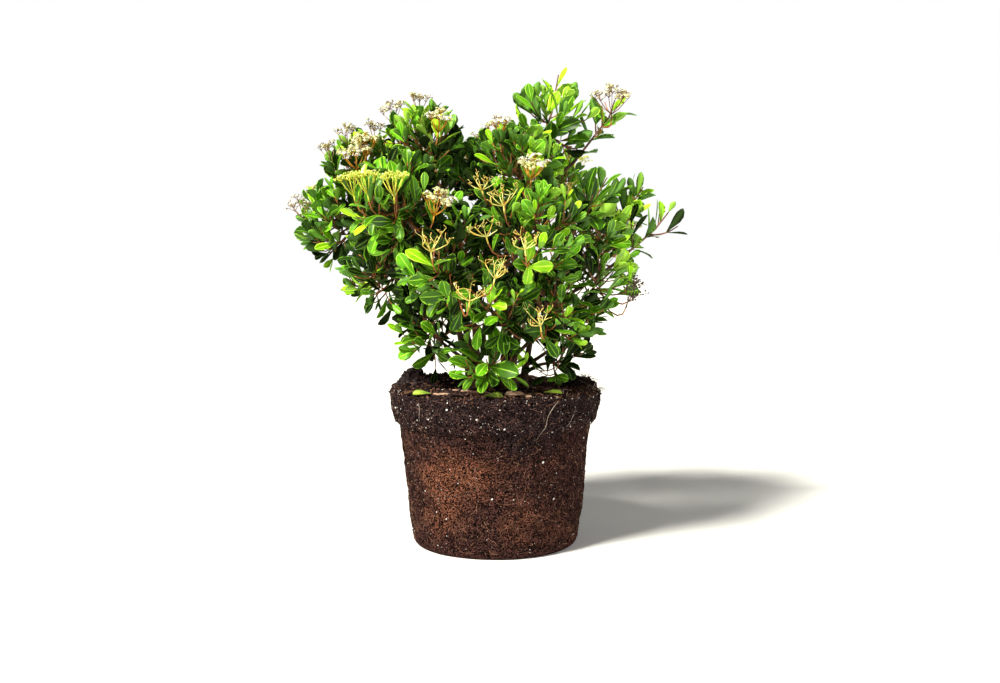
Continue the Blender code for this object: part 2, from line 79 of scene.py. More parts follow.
# The bark's relief: ridges that run along a limb, and a swelling at each old leaf scar.
LIMB_STEP = 0.0025
LIMB_SIDES = 10
LIMB_SUNK = 0.010
RIDGE_DEPTH = 0.13
RIDGES = 2.4
RIDGE_LENGTH = 0.030
SCAR_SPACING = 0.024
SCAR_HEIGHT = 0.14
SCAR_SHARPNESS = 12

# Twigs and shoots.
TWIG_WAYS = 17
TWIG_LIFT = 0.28
LOWEST_WAY = -0.65
HIGHEST_WAY = 0.97
HEAD_ANGLE = 26
FIRST_TWIG = 0.20
LAST_TWIG = 0.95
TWIG_SIDES = 5
TWIG_POINTS = 6
TWIG_RADIUS = 0.0013
TWIG_TIP_RADIUS = 0.0008
TWIG_SWEEP = 0.22
STALK_SUNK = 0.15
STALK_THINNER = 0.9
REACH_STEP = 0.0020
SHOOT_ROOM = 0.018
SHOOT_LEAST = 0.012
SHOOT_APART = 0.0118
SIDE_SHARES = (0.30, 0.52, 0.74, 0.92)
SIDE_ANGLE = 50
SIDE_RISE = 0.30
SIDE_LENGTH = 0.032
SIDE_SHORTEST = 0.7
SIDE_LEAST = 0.008
SIDE_POINTS = 4
SIDE_TAPER = (1.1, 0.8)
TWIG_CLEARANCE = 0.0004
TEST_SIDES = 4

# The blade of a leaf, whose length is 1: its outline, the lines along it above and beneath, its rib's
# groove, and where a test of what it meets looks.
LEAF_THICKNESS = 0.014
LEAF_STATIONS = 5
LEAF_CROWDING = 1.6
LEAF_FULLEST = 1.75
LEAF_ROUNDNESS = 0.72
LEAF_FOOT = 0.05
LEAF_LINES = (-1.0, -0.81, -0.44, -0.07, 0.07, 0.44, 0.81, 1.0)
UNDER_LINES = (-0.10, 0.10)
FOLD_POWER = 1.5
RIB_REACH = 0.2
RIB_GROOVE = 0.4
LEAF_TESTS = (0.12, 0.45, 0.78, 0.985)

# Leaves. Pairs open at these angles in degrees, from a shoot's tip down, and have these sizes.
LEAF_LENGTH = 0.0305
LEAF_FLOOR = BALL_HEIGHT + 0.004
LEAF_TRIES = 3
LEAF_SHRINK = 0.88
PAIR_ANGLES = (22, 40, 56, 68, 78)
PAIR_SIZES = (0.76, 0.98, 1.08, 1.02, 0.92)
PAIR_SPACING = 0.0080
PAIR_STRETCH = 0.15
SHOOT_BARE = 0.004
LEAST_PAIRS = 3
MOST_PAIRS = 7
HEAD_PAIR = 2
SIDE_PAIRS = 3
PAIR_SWAY = 9
SIZE_SWAY = 0.22
ROLL_SWAY = 0.30
LEAF_LIFT = 0.20
FACING_UP = (0.2, 0.8)
FACING_OUT = 0.2
# Painted light and shade on the leaves: each spray's tone is lowered by INNER_SHADE and raised on its
# mass's outer side.
INNER_SHADE = 0.14
OUTER_PAINTED_LIGHT = 0.44
LIGHT_SWAY = 0.27
PAIR_SHADE = 0.07
BORDER_SLACK = 0.017

# Cymes, the heads of blossom: a short stalk, rays, forks on each ray and pedicels on each fork.
CYME_SHARE = 0.95
CYME_LEAN = 0.35
CYME_SIZES = (0.90, 1.10)
CYME_STALK = 0.008
STALK_TIP_RADIUS = 0.0011
STALK_SIDES = 5
RAY_FOOT = 1.2
MIDDLE_RAY = 0.12
RAY_BOW = 0.10
RAY_SWAY = 2
RAY_SIDES = 4
FORK_RADIUS = 0.00052
MIDDLE_FORK = 0.2
FORK_SWAY = 3
FORK_SIDES = 3
PEDICEL = 0.0038
PEDICEL_RADIUS = 0.00032
PEDICEL_TAPER = 0.8
PEDICEL_RISES = (-15, 75)
CYME_FOOT = 0.002
CYME_CLEARANCE = 0.008
CYME_TEST_SIDES = 8
CREAM_CHANCE = 0.50

# A flower of radius 1, and how large flowers and buds are.
PETALS = 5
FLOWER_CORNERS = 20
PETAL_NOTCH = 0.45
PETAL_CUP = 0.28
FLOWER_HALF = 0.10
KNOB_SIZE = 0.26
KNOB_RISE = 0.22
FLOWER_RADIUS = 0.0029
FLOWER_SIZES = (0.85, 1.15)
BUD_RADIUS = 0.0011
BUD_SIZES = (0.8, 1.2)

# The ball's skin: its mesh, its relief as (height, width) of lumps, clods and grains, and the shortest
# normal that is divided by.
BALL_COLUMNS = 300
BALL_ROW = 0.0020
FOOT_ROWS = 6
EDGE_ROWS = 4
SKIN_RELIEF = ((0.0022, 0.035), (0.0011, 0.011), (0.0007, 0.0045))
LEAST_NORMAL = 1e-9

# Where small things lie, dealt out in turn, and how many rows at the ball's foot are dealt none.
FIBRE_PLACES = ("top",) + ("side",) * 11
DUST_PLACES = ("top",) + ("side",) * 9
CRUMB_PLACES = ("top", "top", "top", "rim", "side")
SPECK_PLACES = ("top", "side", "side", "band", "band", "band")
CHIP_PLACES = ("front", "top", "top")
BARE_ROWS = 4

# Fine roots: how they wind and lie, and the curls along the right of the rim. A root is never
# taken to run round a circle smaller than LEAST_CIRCLE.
WINDING = 0.5
LEAST_CIRCLE = 0.01
LIFT_SWAY = (0.4, 1.6)
FIBRES = 5000
FIBRE_POINTS = 5
FIBRE_SIDES = 3
FIBRE_LENGTHS = (0.004, 0.020)
FIBRE_RADII = (0.00018, 0.00040)
FIBRE_HEADING = 0.9
FIBRE_LIFT = 0.0003
FIBRE_SHARES = (2, 2, 6)
FIBRES_IN_BAND = (2, 2, 3)
HAIR_LIFT = 0.0010
HAIR_STEP = 0.004
HAIR_SIDES = 4
HAIR_TAPER = (0.00032, 0.00020)
RIM_CURLS = 90
CURL_BEARINGS = (350, 28)
CURL_ROWS = (-9, 3)
CURL_LENGTHS = (0.006, 0.018)
CURL_POINTS = 6
CURL_RISE = 0.4
CURL_SUNK = 0.001
CURL_TAPER = (0.00045, 0.0002)
CURL_TONES = (0, 1, 1)

# Crumbs, clods, white grains, dust, chips and fallen leaves. The crumbs, dust and chips that lie
# higher than MOUND_BLACK over the ball's top are black. Crumbs and dust have three finishes each.
MOUND_BLACK = 0.004
SOIL_TONES = 3
CRUMBS = 2500
CRUMB_SIZES = (0.0005, 0.0021)
CRUMB_SWAY = (0.65, 1.25)
CRUMB_SHAPE = (1.0, 0.8, 0.7)
CRUMB_LIFT = 0.3
EDGE_SWAY = 2.5
SIDE_CRUMB = 0.6
CLODS = 130
CLOD_SIZES = (0.0016, 0.0044)
CLOD_SWAY = (12, 0.012)
SPECKS = 800
SPECK_SMALLEST = 0.00038
SPECK_LARGEST = 0.0017
SPECK_RARITY = 2.7
SPECK_SWAY = (0.8, 1.15)
SPECK_WIDTHS = (0.6, 1.0)
SPECK_HEIGHT = 0.5
SPECK_LIFT = 0.0001
DUST = 5200
DUST_SIZES = (0.00045, 0.00095)
DUST_LENGTHS = (1.0, 2.2)
DUST_HEIGHT = 0.8
CHIPS = 90
CHIP_SIZES = (0.003, 0.010)
CHIP_WIDTHS = (0.35, 0.6)
CHIP_HEIGHTS = (0.10, 0.22)
CHIP_LEAN = 0.35
CHIP_LIFT = 0.0008
CHIP_TONES = (0, 0, 1, 2)
DARK_CHIP = 2
FRONT_CHIPS = (278, 24)
FRONT_CHIP_ROWS = (4, 20)
FALLEN_FORM = 1
FALLEN_LENGTH = 0.024
FALLEN_LEAN = 0.55
FALLEN_RISE = 4
FALLEN_LIFT = 0.0022

# Heaps of soil on top: bearing, reach, height and width.
MOUNDS = (
    (160, 0.120, 0.0185, 0.024),
    (132, 0.112, 0.0070, 0.026),
    (2, 0.118, 0.0125, 0.026),
    (25, 0.112, 0.0080, 0.022),
    (188, 0.124, 0.0050, 0.020),
    (80, 0.110, 0.0045, 0.030),
    (305, 0.100, 0.0030, 0.030),
)

# Long hair roots on the side of the ball, as bearings and heights from the top down.
HAIR_ROOTS = (
    ((304, 0.200), (300, 0.191), (298, 0.181), (297.5, 0.170), (295, 0.160), (294, 0.152)),
    ((227.5, 0.196), (228, 0.188), (227, 0.180), (226.5, 0.173)),
    ((316, 0.182), (314, 0.170), (310, 0.160)),
    ((120, 0.196), (116, 0.182), (118, 0.168), (112, 0.155)),
    ((30, 0.190), (36, 0.176), (34, 0.160)),
)

# Leaves that lie on the soil: bearing, reach, the way they point, and the place of their finish.
FALLEN_LEAVES = (
    (230, 0.120, 190, 3),
    (264, 0.123, 350, 3),
    (277, 0.123, 15, 1),
    (300, 0.118, 340, 3),
    (287, 0.120, 190, 1),
    (219, 0.118, 215, 0),
    (100, 0.090, 60, 3),
    (20, 0.085, 300, 0),
)

# The soil's dark band, its colours, where it is at its most orange, a spot at the front left that is
# partly painted light where the key light falls, and where the band hangs lowest.
BAND_FOOT = 0.160
BAND_RAGGED = 0.060
BAND_BLUR = 0.020
SOIL_ORANGE = (0.080, 0.0325, 0.0195)
SOIL_REDDISH = (0.0265, 0.0120, 0.0102)
SOIL_DARK = (0.0145, 0.0092, 0.0094)
ORANGE_PAINTED_LIGHT_PLACE = (-0.064, -0.102, 0.085)
ORANGE_PAINTED_LIGHT_REACH = 0.072
ORANGE_PAINTED_LIGHT_STRENGTH = 0.36
SAG_PLACE = (0.036, -0.118, 0.150)
SAG_REACH = 0.070
SAG_DEPTH = 0.046
PATCH_STRETCH = (1, 1, 1.6)
PATCH_SCALE = 11
PATCH_SPAN = (0.54, 0.78)
TATTERS_SCALE = 16
TATTERS_DETAIL = 5.0
GRAIN_SCALE = 600
GRAIN_DETAIL = 3.0
GRAIN_SPAN = (0.45, 0.59)
GRAIN_DARK = (0.01, 0.01, 0.01)
GRAIN_LIGHT = (2.8, 2.6, 2.6)
SOIL_ROUGHNESS = 0.92
SOIL_GLOSS = 0.03
SOIL_RELIEF = 0.8

# Where the noise of each finish but the soil's turns from dark to light, and how deep any relief is.
COLOUR_SPAN = (0.36, 0.64)
BUMP_DISTANCE = 0.0006

# The view of the photograph, and the studio: its floor, key light, fill light and pale room.
CAMERA_PLACE = Vector((0.0066, -1.496, 0.375))
CAMERA_TARGET = Vector((0.0066, 0.0, 0.265))
CAMERA_LENS = 40.91
SENSOR_WIDTH = 36.0
FLOOR_WIDTH = 40.0
KEY_STRENGTH = 6.95
KEY_SPREAD = 14
KEY_PLACE = Vector((-1.2, -1.2, 1.7))
KEY_COLOUR = (1.0, 0.97, 0.85)
FILL_PLACE = Vector((1.7, -0.8, 0.9))
FILL_SIZE = 1.0
FILL_POWER = 15
FILL_COLOUR = (1.0, 0.97, 0.94)
ROOM_LIGHT = 0.155
ROOM_COLOUR = (1.0, 0.98, 0.91, 1.0)
SEEN_COLOUR = (1.0, 1.0, 1.0, 1.0)
FLOOR_DROP = 0.0005

Stem = namedtuple("Stem", "name bearing reach radius lean leader")
MASS_FIELDS = "name bearing reach height spread stem fork tone fullness stalk"
Mass = namedtuple("Mass", MASS_FIELDS, defaults=(STALK_LENGTH,))
Limb = namedtuple("Limb", "name points radii")
Shoot = namedtuple("Shoot", "path pairs first", defaults=(0,))
RAY_FIELDS = "rays rise reach dome sway radius"
FORK_FIELDS = "forks fork_rise fork_reach florets flowering bud_size stalk bud"
Bloom = namedtuple("Bloom", RAY_FIELDS + " " + FORK_FIELDS)
Form = namedtuple("Form", "breadth fold curl twist")
Family = namedtuple("Family", "name gloss blade pale under")

# As in the solids. Bearings are degrees seen from above: 0 is right, 90 back and 270 the front.
STEMS = (
    Stem("left", 186, 0.034, 0.0046, 0.18, "left_shoulder"),
    Stem("front_left", 232, 0.040, 0.0042, 0.17, "left_front"),
    Stem("front", 292, 0.036, 0.0043, 0.15, "front_right"),
    Stem("right", 342, 0.040, 0.0047, 0.19, "right_shoulder"),
    Stem("centre", 20, 0.013, 0.0058, 0.15, "tall_shoot"),
    Stem("back_left", 128, 0.036, 0.0045, 0.18, "back_left_top"),
    Stem("back_right", 50, 0.038, 0.0045, 0.18, "back_right_top"),
    Stem("low", 264, 0.062, 0.0026, 0.20, "front_base"),
)

# The heart of each mass: its bearing, reach and height. Then how far its leaves spread round it,
# the stem that bears it, the share of that stem's run at which its bough forks off, how young and
# light its leaves are and how full it is, both from 0 to 1, and on some the length of its stalk.
MASSES = (
    Mass("far_left", 176, 0.208, 0.424, 0.062, "left", 0.58, 0.45, 0.80),
    Mass("left_shoulder", 171, 0.172, 0.484, 0.066, "left", 1.0, 0.56, 0.85),
    Mass("left_top", 178, 0.096, 0.518, 0.066, "centre", 0.40, 0.66, 0.85),
    Mass("left_front", 226, 0.165, 0.436, 0.074, "front_left", 1.0, 0.41, 1.0),
    Mass("left_low", 197, 0.150, 0.362, 0.062, "left", 0.38, 0.38, 0.65),
    Mass("left_base", 203, 0.100, 0.288, 0.056, "left", 0.22, 0.36, 0.50),
    Mass("front_left", 250, 0.146, 0.366, 0.074, "front_left", 0.52, 0.37, 1.0),
    Mass("front_low", 271, 0.120, 0.312, 0.064, "front_left", 0.28, 0.36, 0.90, 0.026),
    Mass("front_base", 266, 0.104, 0.240, 0.056, "low", 1.0, 0.45, 0.50, 0.022),
    Mass("front_right", 290, 0.140, 0.402, 0.074, "front", 1.0, 0.50, 0.84),
    Mass("front_top", 290, 0.090, 0.478, 0.070, "front", 0.45, 0.64, 0.78),
    Mass("low_front_right", 306, 0.122, 0.318, 0.064, "front", 0.26, 0.34, 0.85),
    Mass("front_right_base", 322, 0.104, 0.243, 0.054, "right", 0.18, 0.30, 0.48, 0.024),
    Mass("centre_top", 110, 0.030, 0.480, 0.068, "centre", 0.55, 0.40, 0.62),
    Mass("tall_shoot", 2, 0.074, 0.563, 0.066, "centre", 1.0, 0.80, 0.20),
    Mass("high_right", 8, 0.152, 0.560, 0.040, "centre", 0.76, 0.66, 0.20, 0.070),
    Mass("right_shoulder", 343, 0.122, 0.430, 0.070, "right", 1.0, 0.68, 0.33),
    Mass("right_sprig", 10, 0.186, 0.446, 0.046, "right", 0.66, 0.50, 0.18, 0.050),
    Mass("far_right", 355, 0.208, 0.412, 0.046, "right", 0.50, 0.56, 0.14, 0.065),
    Mass("right_low", 338, 0.138, 0.340, 0.062, "right", 0.34, 0.56, 0.50),
    Mass("right_base", 345, 0.100, 0.282, 0.058, "right", 0.22, 0.26, 0.32),
    Mass("back_left_top", 128, 0.125, 0.476, 0.072, "back_left", 1.0, 0.52, 0.85),
    Mass("back_left", 143, 0.165, 0.394, 0.074, "back_left", 0.48, 0.42, 0.85),
    Mass("back_left_low", 138, 0.112, 0.312, 0.064, "back_left", 0.26, 0.30, 0.70),
    Mass("back_right_top", 58, 0.125, 0.472, 0.072, "back_right", 1.0, 0.55, 0.70),
    Mass("back_middle", 92, 0.150, 0.392, 0.076, "back_right", 0.56, 0.45, 0.78),
    Mass("back_right", 35, 0.160, 0.384, 0.074, "back_right", 0.40, 0.48, 0.62),
    Mass("back_right_low", 66, 0.115, 0.308, 0.064, "back_right", 0.24, 0.30, 0.60),
)

# The masses whose leaves are larger than the others', and by how much.
LARGER_LEAVES = {
    "front_base": 1.38, "tall_shoot": 1.32, "high_right": 1.30, "right_shoulder": 1.28, "far_right": 1.10,
    "right_sprig": 1.12, "left_top": 1.06, "front_top": 1.06,
    "left_front": 1.22, "left_shoulder": 1.14, "left_base": 1.10, "left_low": 1.12, "far_left": 1.18,
    "front_left": 1.08, "front_right": 1.06, "right_low": 1.10, "low_front_right": 1.06,
}

# Which way more leafy twigs lie from their mass's heart: each one's bearing, and its rise in degrees.
LEAFY_WAYS = {
    "tall_shoot": (
        (190, -24), (232, -26), (285, -12), (160, -36), (236, 10),
        (350, -54), (310, -50), (35, -50), (262, -52), (340, -12),
    ),
    "far_right": ((0, 8), (180, 15)),
    "far_left": ((222, -62), (165, -70)),
    "left_low": ((215, -38), (262, -42), (250, -64)),
    "left_base": ((282, -35), (310, -60)),
    "left_front": ((195, -22), (222, -34)),
    "right_low": ((330, -10),),
}

# Which way a mass is open, in the same way: it has no leafy twigs there.
OPEN_WAYS = {
    "far_left": ((200, -24), (183, -34), (175, -4)),
    "left_low": ((186, -5),),
    "left_base": ((192, -8), (200, -40)),
    "tall_shoot": ((0, -8), (10, 22)),
    "right_shoulder": ((15, 42), (330, 50)),
    "right_low": ((352, 12), (350, -24)),
    "right_base": ((345, -55), (350, -15)),
    "front_right_base": ((352, 8), (350, -30), (330, -12)),
}

# Each mass's cymes: their kind, and which way the middle of each lies from the mass's heart.
HEADS = {
    "far_left": (("fading", 218, 19), ("open", 130, 40)),
    "left_shoulder": (
        ("open", 274, 42), ("fading", 206, 32), ("fading", 220, 60),
        ("open", 262, 22), ("open", 100, 45), ("fading", 15, 80),
    ),
    "left_top": (("fading", 186, 52), ("fading", 250, 84), ("open", 299, 31)),
    "left_front": (("open", 314, 5), ("budding", 235, 28), ("budding", 269, 26), ("budding", 206, 27)),
    "front_left": (("spent", 248, 25), ("spent", 291, -24), ("spent", 320, -2)),
    "front_top": (("open", 282, 5), ("open", 205, 64), ("spent", 222, -9)),
    "front_right": (("spent", 221, 42), ("spent", 209, 8), ("spent", 259, -4)),
    "low_front_right": (("spent", 252, -10),),
    "right_shoulder": (("spent", 236, 30),),
    "right_low": (("withered", 324, 5), ("withered", 312, -8)),
    "high_right": (("loose", 272, 38),),
    "centre_top": (("open", 90, 60),),
    "back_left_top": (("open", 110, 48), ("budding", 170, 30), ("open", 60, 40)),
    "back_left": (("fading", 150, 30),),
    "back_right_top": (("open", 80, 45), ("budding", 20, 40)),
    "back_middle": (("open", 80, 35), ("spent", 120, 25)),
    "back_right": (("open", 25, 30),),
}

# What each kind of cyme is made of: its rays, their rise and reach, how far the middle one stands above
# the others, how uneven they are and how thick. Then the forks of each ray, their rise and reach, how
# many florets a fork has, what share of them are in flower, how large the others are, and the places
# of the finishes of the stalks and of the buds.
BLOOMS = {
    "open": Bloom(7, 0.0160, 0.0130, 0.45, 0.14, 0.00090, 4, 0.0052, 0.0056, 4, 0.74, 1.0, 0, 3),
    "loose": Bloom(7, 0.0190, 0.0240, 0.50, 0.28, 0.00062, 5, 0.0070, 0.0072, 4, 0.42, 1.15, 4, 4),
    "fading": Bloom(5, 0.0145, 0.0105, 0.30, 0.26, 0.00055, 4, 0.0050, 0.0048, 3, 0.26, 0.9, 3, 4),
    "budding": Bloom(8, 0.0205, 0.0120, 0.06, 0.12, 0.00070, 4, 0.0038, 0.0046, 3, 0.05, 1.0, 1, 3),
    "spent": Bloom(6, 0.0105, 0.0150, 0.10, 0.52, 0.00076, 3, 0.0050, 0.0064, 1, 0.0, 0.6, 2, 5),
    "withered": Bloom(6, 0.0090, 0.0120, 0.10, 0.60, 0.00050, 3, 0.0035, 0.0065, 2, 0.0, 1.1, 5, 6),
}

# How a leaf is shaped: half its breadth, its fold along the rib, its backward curl and its twist.
FORMS = (
    Form(0.215, 0.22, 0.15, 0.10),
    Form(0.240, 0.34, 0.35, -0.15),
    Form(0.190, 0.14, -0.15, 0.22),
    Form(0.255, 0.26, 0.55, 0.04),
    Form(0.205, 0.42, 0.25, -0.30),
    Form(0.230, 0.10, 0.10, -0.05),
)

# The leaves from the darkest to the lightest: the oldest and those in painted shade inside a mass first,
# the youngest and those in painted light on its outside last. Their gloss, then the greens of the upper
# face, of the rib and margin, and of the underside.
FAMILIES = (
    Family("deep", 0.07, (0.006, 0.014, 0.002), (0.060, 0.13, 0.010), (0.018, 0.035, 0.008)),
    Family("dark", 0.16, (0.021, 0.064, 0.003), (0.150, 0.36, 0.018), (0.048, 0.110, 0.020)),
    Family("mid", 0.26, (0.060, 0.188, 0.005), (0.310, 0.58, 0.036), (0.108, 0.250, 0.040)),
    Family("bright", 0.28, (0.122, 0.385, 0.006), (0.420, 0.78, 0.060), (0.155, 0.360, 0.045)),
    Family("fresh", 0.30, (0.225, 0.530, 0.005), (0.560, 0.83, 0.060), (0.200, 0.410, 0.040)),
    Family("lime", 0.34, (0.330, 0.680, 0.008), (0.660, 0.88, 0.085), (0.290, 0.540, 0.050)),
)

# How a leaf's three finishes wander round those greens, then the roughness of each, the scale of its
# colour, and how strong and how fine its relief is.
BLADE_SHADES = (0.72, 1.28)
RIB_SHADES = (1.0, 1.15)
UNDER_SHADES = (1.0, 1.12)
BLADE_FINISH = (0.34, 55, 0.25, 420)
RIB_FINISH = (0.45, 90, 0.15, 500)
UNDER_FINISH = (0.62, 70, 0.2, 380)

# The finishes of the twigs, of the cymes' stalks and of the blossom. The first three of the blossom's
# are the flowers' own.
TWIG_FINISHES = ("twig_bark", "shoot_bark")
STALK_FINISHES = ("ray_amber", "ray_yellow", "ray_straw", "ray_rosy", "ray_wine", "ray_dry")
BLOSSOM_FINISHES = ("petal_white", "petal_cream", "flower_middle", "bud", "dry_bud", "knot", "husk")
PETAL_WHITE, PETAL_CREAM, FLOWER_MIDDLE = range(3)

# Each plain finish: its dark and light colours, its roughness, the scale of its colour, and how strong
# and how fine its relief is. Then, on some, how bright its gloss is and how it is drawn out.
FINISHES = {
    "floor": ((0.90, 0.90, 0.90), (0.93, 0.93, 0.93), 0.9, 3, 0.02, 20, 0.1),
    "bark": ((0.045, 0.022, 0.014), (0.15, 0.080, 0.050), 0.8, 38, 0.6, 330, 0.25, (1, 1, 0.35)),
    "twig_bark": ((0.080, 0.028, 0.012), (0.22, 0.080, 0.030), 0.6, 50, 0.4, 400),
    "shoot_bark": ((0.20, 0.055, 0.014), (0.44, 0.15, 0.030), 0.45, 50, 0.2, 400),
    "ray_amber": ((0.46, 0.14, 0.008), (0.84, 0.44, 0.03), 0.5, 110, 0.2, 400),
    "ray_yellow": ((0.46, 0.48, 0.02), (0.82, 0.76, 0.07), 0.5, 110, 0.2, 400),
    "ray_straw": ((0.76, 0.50, 0.05), (0.96, 0.94, 0.32), 0.5, 110, 0.2, 400),
    "ray_rosy": ((0.20, 0.10, 0.05), (0.42, 0.26, 0.15), 0.5, 90, 0.2, 400),
    "ray_wine": ((0.13, 0.040, 0.012), (0.34, 0.16, 0.04), 0.5, 90, 0.2, 400),
    "ray_dry": ((0.022, 0.010, 0.006), (0.080, 0.038, 0.020), 0.8, 90, 0.2, 400),
    "petal_white": ((0.93, 0.93, 0.86), (0.98, 0.98, 0.96), 0.5, 200, 0.1, 500),
    "petal_cream": ((0.78, 0.74, 0.34), (0.92, 0.90, 0.62), 0.5, 200, 0.1, 500),
    "flower_middle": ((0.55, 0.58, 0.14), (0.72, 0.72, 0.26), 0.5, 200, 0.1, 500),
    "bud": ((0.44, 0.58, 0.04), (0.80, 0.84, 0.18), 0.5, 200, 0.1, 500),
    "dry_bud": ((0.14, 0.080, 0.03), (0.52, 0.44, 0.18), 0.6, 200, 0.1, 500),
    "knot": ((0.78, 0.26, 0.03), (0.98, 0.84, 0.30), 0.6, 200, 0.1, 500),
    "husk": ((0.014, 0.008, 0.006), (0.060, 0.032, 0.020), 0.8, 200, 0.2, 500),
    "fibre_tan": ((0.11, 0.050, 0.030), (0.26, 0.13, 0.08), 0.8, 60, 0.2, 400, 0.03),
    "fibre_brown": ((0.035, 0.016, 0.011), (0.09, 0.040, 0.024), 0.8, 60, 0.2, 400, 0.03),
    "fibre_dark": ((0.003, 0.002, 0.002), (0.012, 0.008, 0.008), 0.9, 60, 0.2, 400, 0.02),
    "fibre_rosy": ((0.040, 0.020, 0.018), (0.160, 0.085, 0.072), 0.8, 120, 0.2, 400, 0.03),
    "soil_black": ((0.010, 0.007, 0.008), (0.050, 0.036, 0.037), 0.9, 160, 0.6, 500, 0.03),
    "root_pale": ((0.30, 0.24, 0.18), (0.52, 0.44, 0.36), 0.7, 60, 0.2, 400, 0.2),
    "crumb_brown": ((0.070, 0.035, 0.027), (0.22, 0.115, 0.085), 0.9, 120, 0.6, 500, 0.05),
    "dust_pale": ((0.10, 0.060, 0.048), (0.30, 0.20, 0.16), 0.9, 200, 0.2, 500, 0.03),
    "perlite": ((0.62, 0.60, 0.56), (0.90, 0.88, 0.84), 0.8, 300, 0.4, 900, 0.3),
    "chip_brown": ((0.09, 0.04, 0.022), (0.22, 0.11, 0.06), 0.85, 90, 0.5, 500, 0.2),
    "chip_pink": ((0.36, 0.20, 0.14), (0.58, 0.38, 0.27), 0.8, 90, 0.5, 500, 0.2),
    "fallen_leaf": ((0.16, 0.28, 0.02), (0.40, 0.50, 0.06), 0.5, 90, 0.2, 400),
}

# The crown's heart, the way up, how wide the hedge's cells are, and the shortest cross product that
# gives a direction.
CROWN_HEART = Vector((0.0, 0.0, 0.360))
UP = Vector((0.0, 0.0, 1.0))
CELL = 0.024
LEAST_CROSS = 1e-4


# Paths of the limbs, by the solids' rules


def place_at(bearing, reach, height):
    angle = math.radians(bearing)
    return Vector((reach * math.cos(angle), reach * math.sin(angle), height))


def way_of(bearing, rise):
    """The direction of this bearing and rise, both in degrees."""
    return place_at(bearing, math.cos(math.radians(rise)), math.sin(math.radians(rise)))


def bend(start, middle, end, count):
    """Points along the quadratic curve from start to end that middle draws aside."""
    points = []
    for step in range(count):
        t = step / (count - 1)
        points.append(start.lerp(middle, t).lerp(middle.lerp(end, t), t))
    return points


def taper(first, last, count):
    """So many numbers at even steps from first to last."""
    return [first + (last - first) * index / (count - 1) for index in range(count)]


def heart_of(mass):
    return place_at(mass.bearing, mass.reach, mass.height)


def stem_limb(stem, leader):
    """From below the soil, up and out to where the leader's leaves begin."""
    foot = place_at(stem.bearing, stem.reach, BALL_HEIGHT)
    heart = heart_of(leader)
    knee = foot.lerp(heart, stem.lean)
    knee.z = foot.z + (heart.z - foot.z) * STEM_KNEE
    tip = heart - (heart - knee).normalized() * leader.stalk
    points = [foot] + bend(foot + UP * FOOT_HEIGHT, knee, tip, STEM_POINTS - 1)
    radii = taper(stem.radius, STEM_TIP_RADIUS, STEM_POINTS)
    radii[0] *= FLARE
    radii[1] *= (1 + FLARE) / 2
    return Limb("stem_" + stem.name, [foot - UP * LIMB_SUNK] + points, radii[:1] + radii)


def on_path(points, at):
    """Where a path is, at 0 for its first point, 1 for its second and so on, and which way it goes."""
    index = min(int(at), len(points) - 2)
    start, end = points[index], points[index + 1]
    return start.lerp(end, at - index), (end - start).normalized()


def bough_limb(mass, stem):
    """From within its stem, out and up to where the mass's leaves begin."""
    above_soil = 1
    start, along = on_path(stem.points, above_soil + mass.fork * (len(stem.points) - 1 - above_soil))
    heart = heart_of(mass)
    aim = (heart - start).normalized()
    leaving = (aim - along * aim.dot(along)).normalized()
    direction = (leaving * BOUGH_OUT + along * BOUGH_ALONG + UP * BOUGH_RISE).normalized()
    middle = start + direction * (heart - start).length * BOUGH_BEND
    tip = heart - (heart - middle).normalized() * mass.stalk
    points = [start] + bend(start + direction * BOUGH_FOOT_RADIUS, middle, tip, BOUGH_POINTS - 1)
    return Limb("bough_" + mass.name, points, taper(BOUGH_FOOT_RADIUS, BOUGH_TIP_RADIUS, BOUGH_POINTS))


def grow_limbs():
    """Every stem and bough, and which of them carries each mass."""
    limbs, carriers = [], {}
    for stem in STEMS:
        leader = next(mass for mass in MASSES if mass.name == stem.leader)
        limb = stem_limb(stem, leader)
        limbs.append(limb)
        carriers[leader] = limb
        for mass in MASSES:
            if mass.stem == stem.name and mass is not leader:
                carriers[mass] = bough_limb(mass, limb)
                limbs.append(carriers[mass])
    return limbs, carriers


# Shapes as arrays of points and triangles


def frame_of(axis):
    """A rotation whose Z is the axis."""
    return frame_along(axis.orthogonal(), axis)


def frame_along(direction, facing):
    """A rotation whose X runs along direction and whose Z faces as near to facing as it can."""
    x = direction.normalized()
    y = facing.cross(x)
    if y.length < LEAST_CROSS:
        y = x.orthogonal()
    y.normalize()
    return Matrix((x, y, x.cross(y))).transposed()


@lru_cache(maxsize=None)
def tube_faces(rings, sides):
    """Triangles between rings of corners, and a fan over each end, all facing out."""
    corner = np.arange(sides)
    after = (corner + 1) % sides
    start = np.arange(rings - 1)[:, None] * sides
    a, b = start + corner, start + after
    walls = np.stack([a, b, b + sides, a, b + sides, a + sides], -1).reshape(-1, 3)
    foot = np.stack([np.full(sides, rings * sides), after, corner], 1)
    last = (rings - 1) * sides
    top = np.stack([np.full(sides, rings * sides + 1), corner + last, after + last], 1)
    return np.concatenate([walls, foot, top])


def tube(path, radii, sides):
    """A closed tube along the path. Its radii are one for each point, or one for each corner."""
    path = np.array([tuple(point) for point in path])
    ahead = np.gradient(path, axis=0)
    ahead /= np.linalg.norm(ahead, axis=1)[:, None]
    angles = np.arange(sides) * math.tau / sides
    normal = np.array(Vector(ahead[0]).orthogonal())
    rings = []
    for point, way, radius in zip(path, ahead, radii):
        normal = normal - way * normal.dot(way)
        normal /= np.linalg.norm(normal)
        across = np.cross(way, normal)
        ring = np.outer(np.cos(angles), normal) + np.outer(np.sin(angles), across)
        rings.append(point + ring * np.reshape(radius, (-1, 1)))
    return np.concatenate([*rings, path[:1], path[-1:]]), tube_faces(len(path), sides)


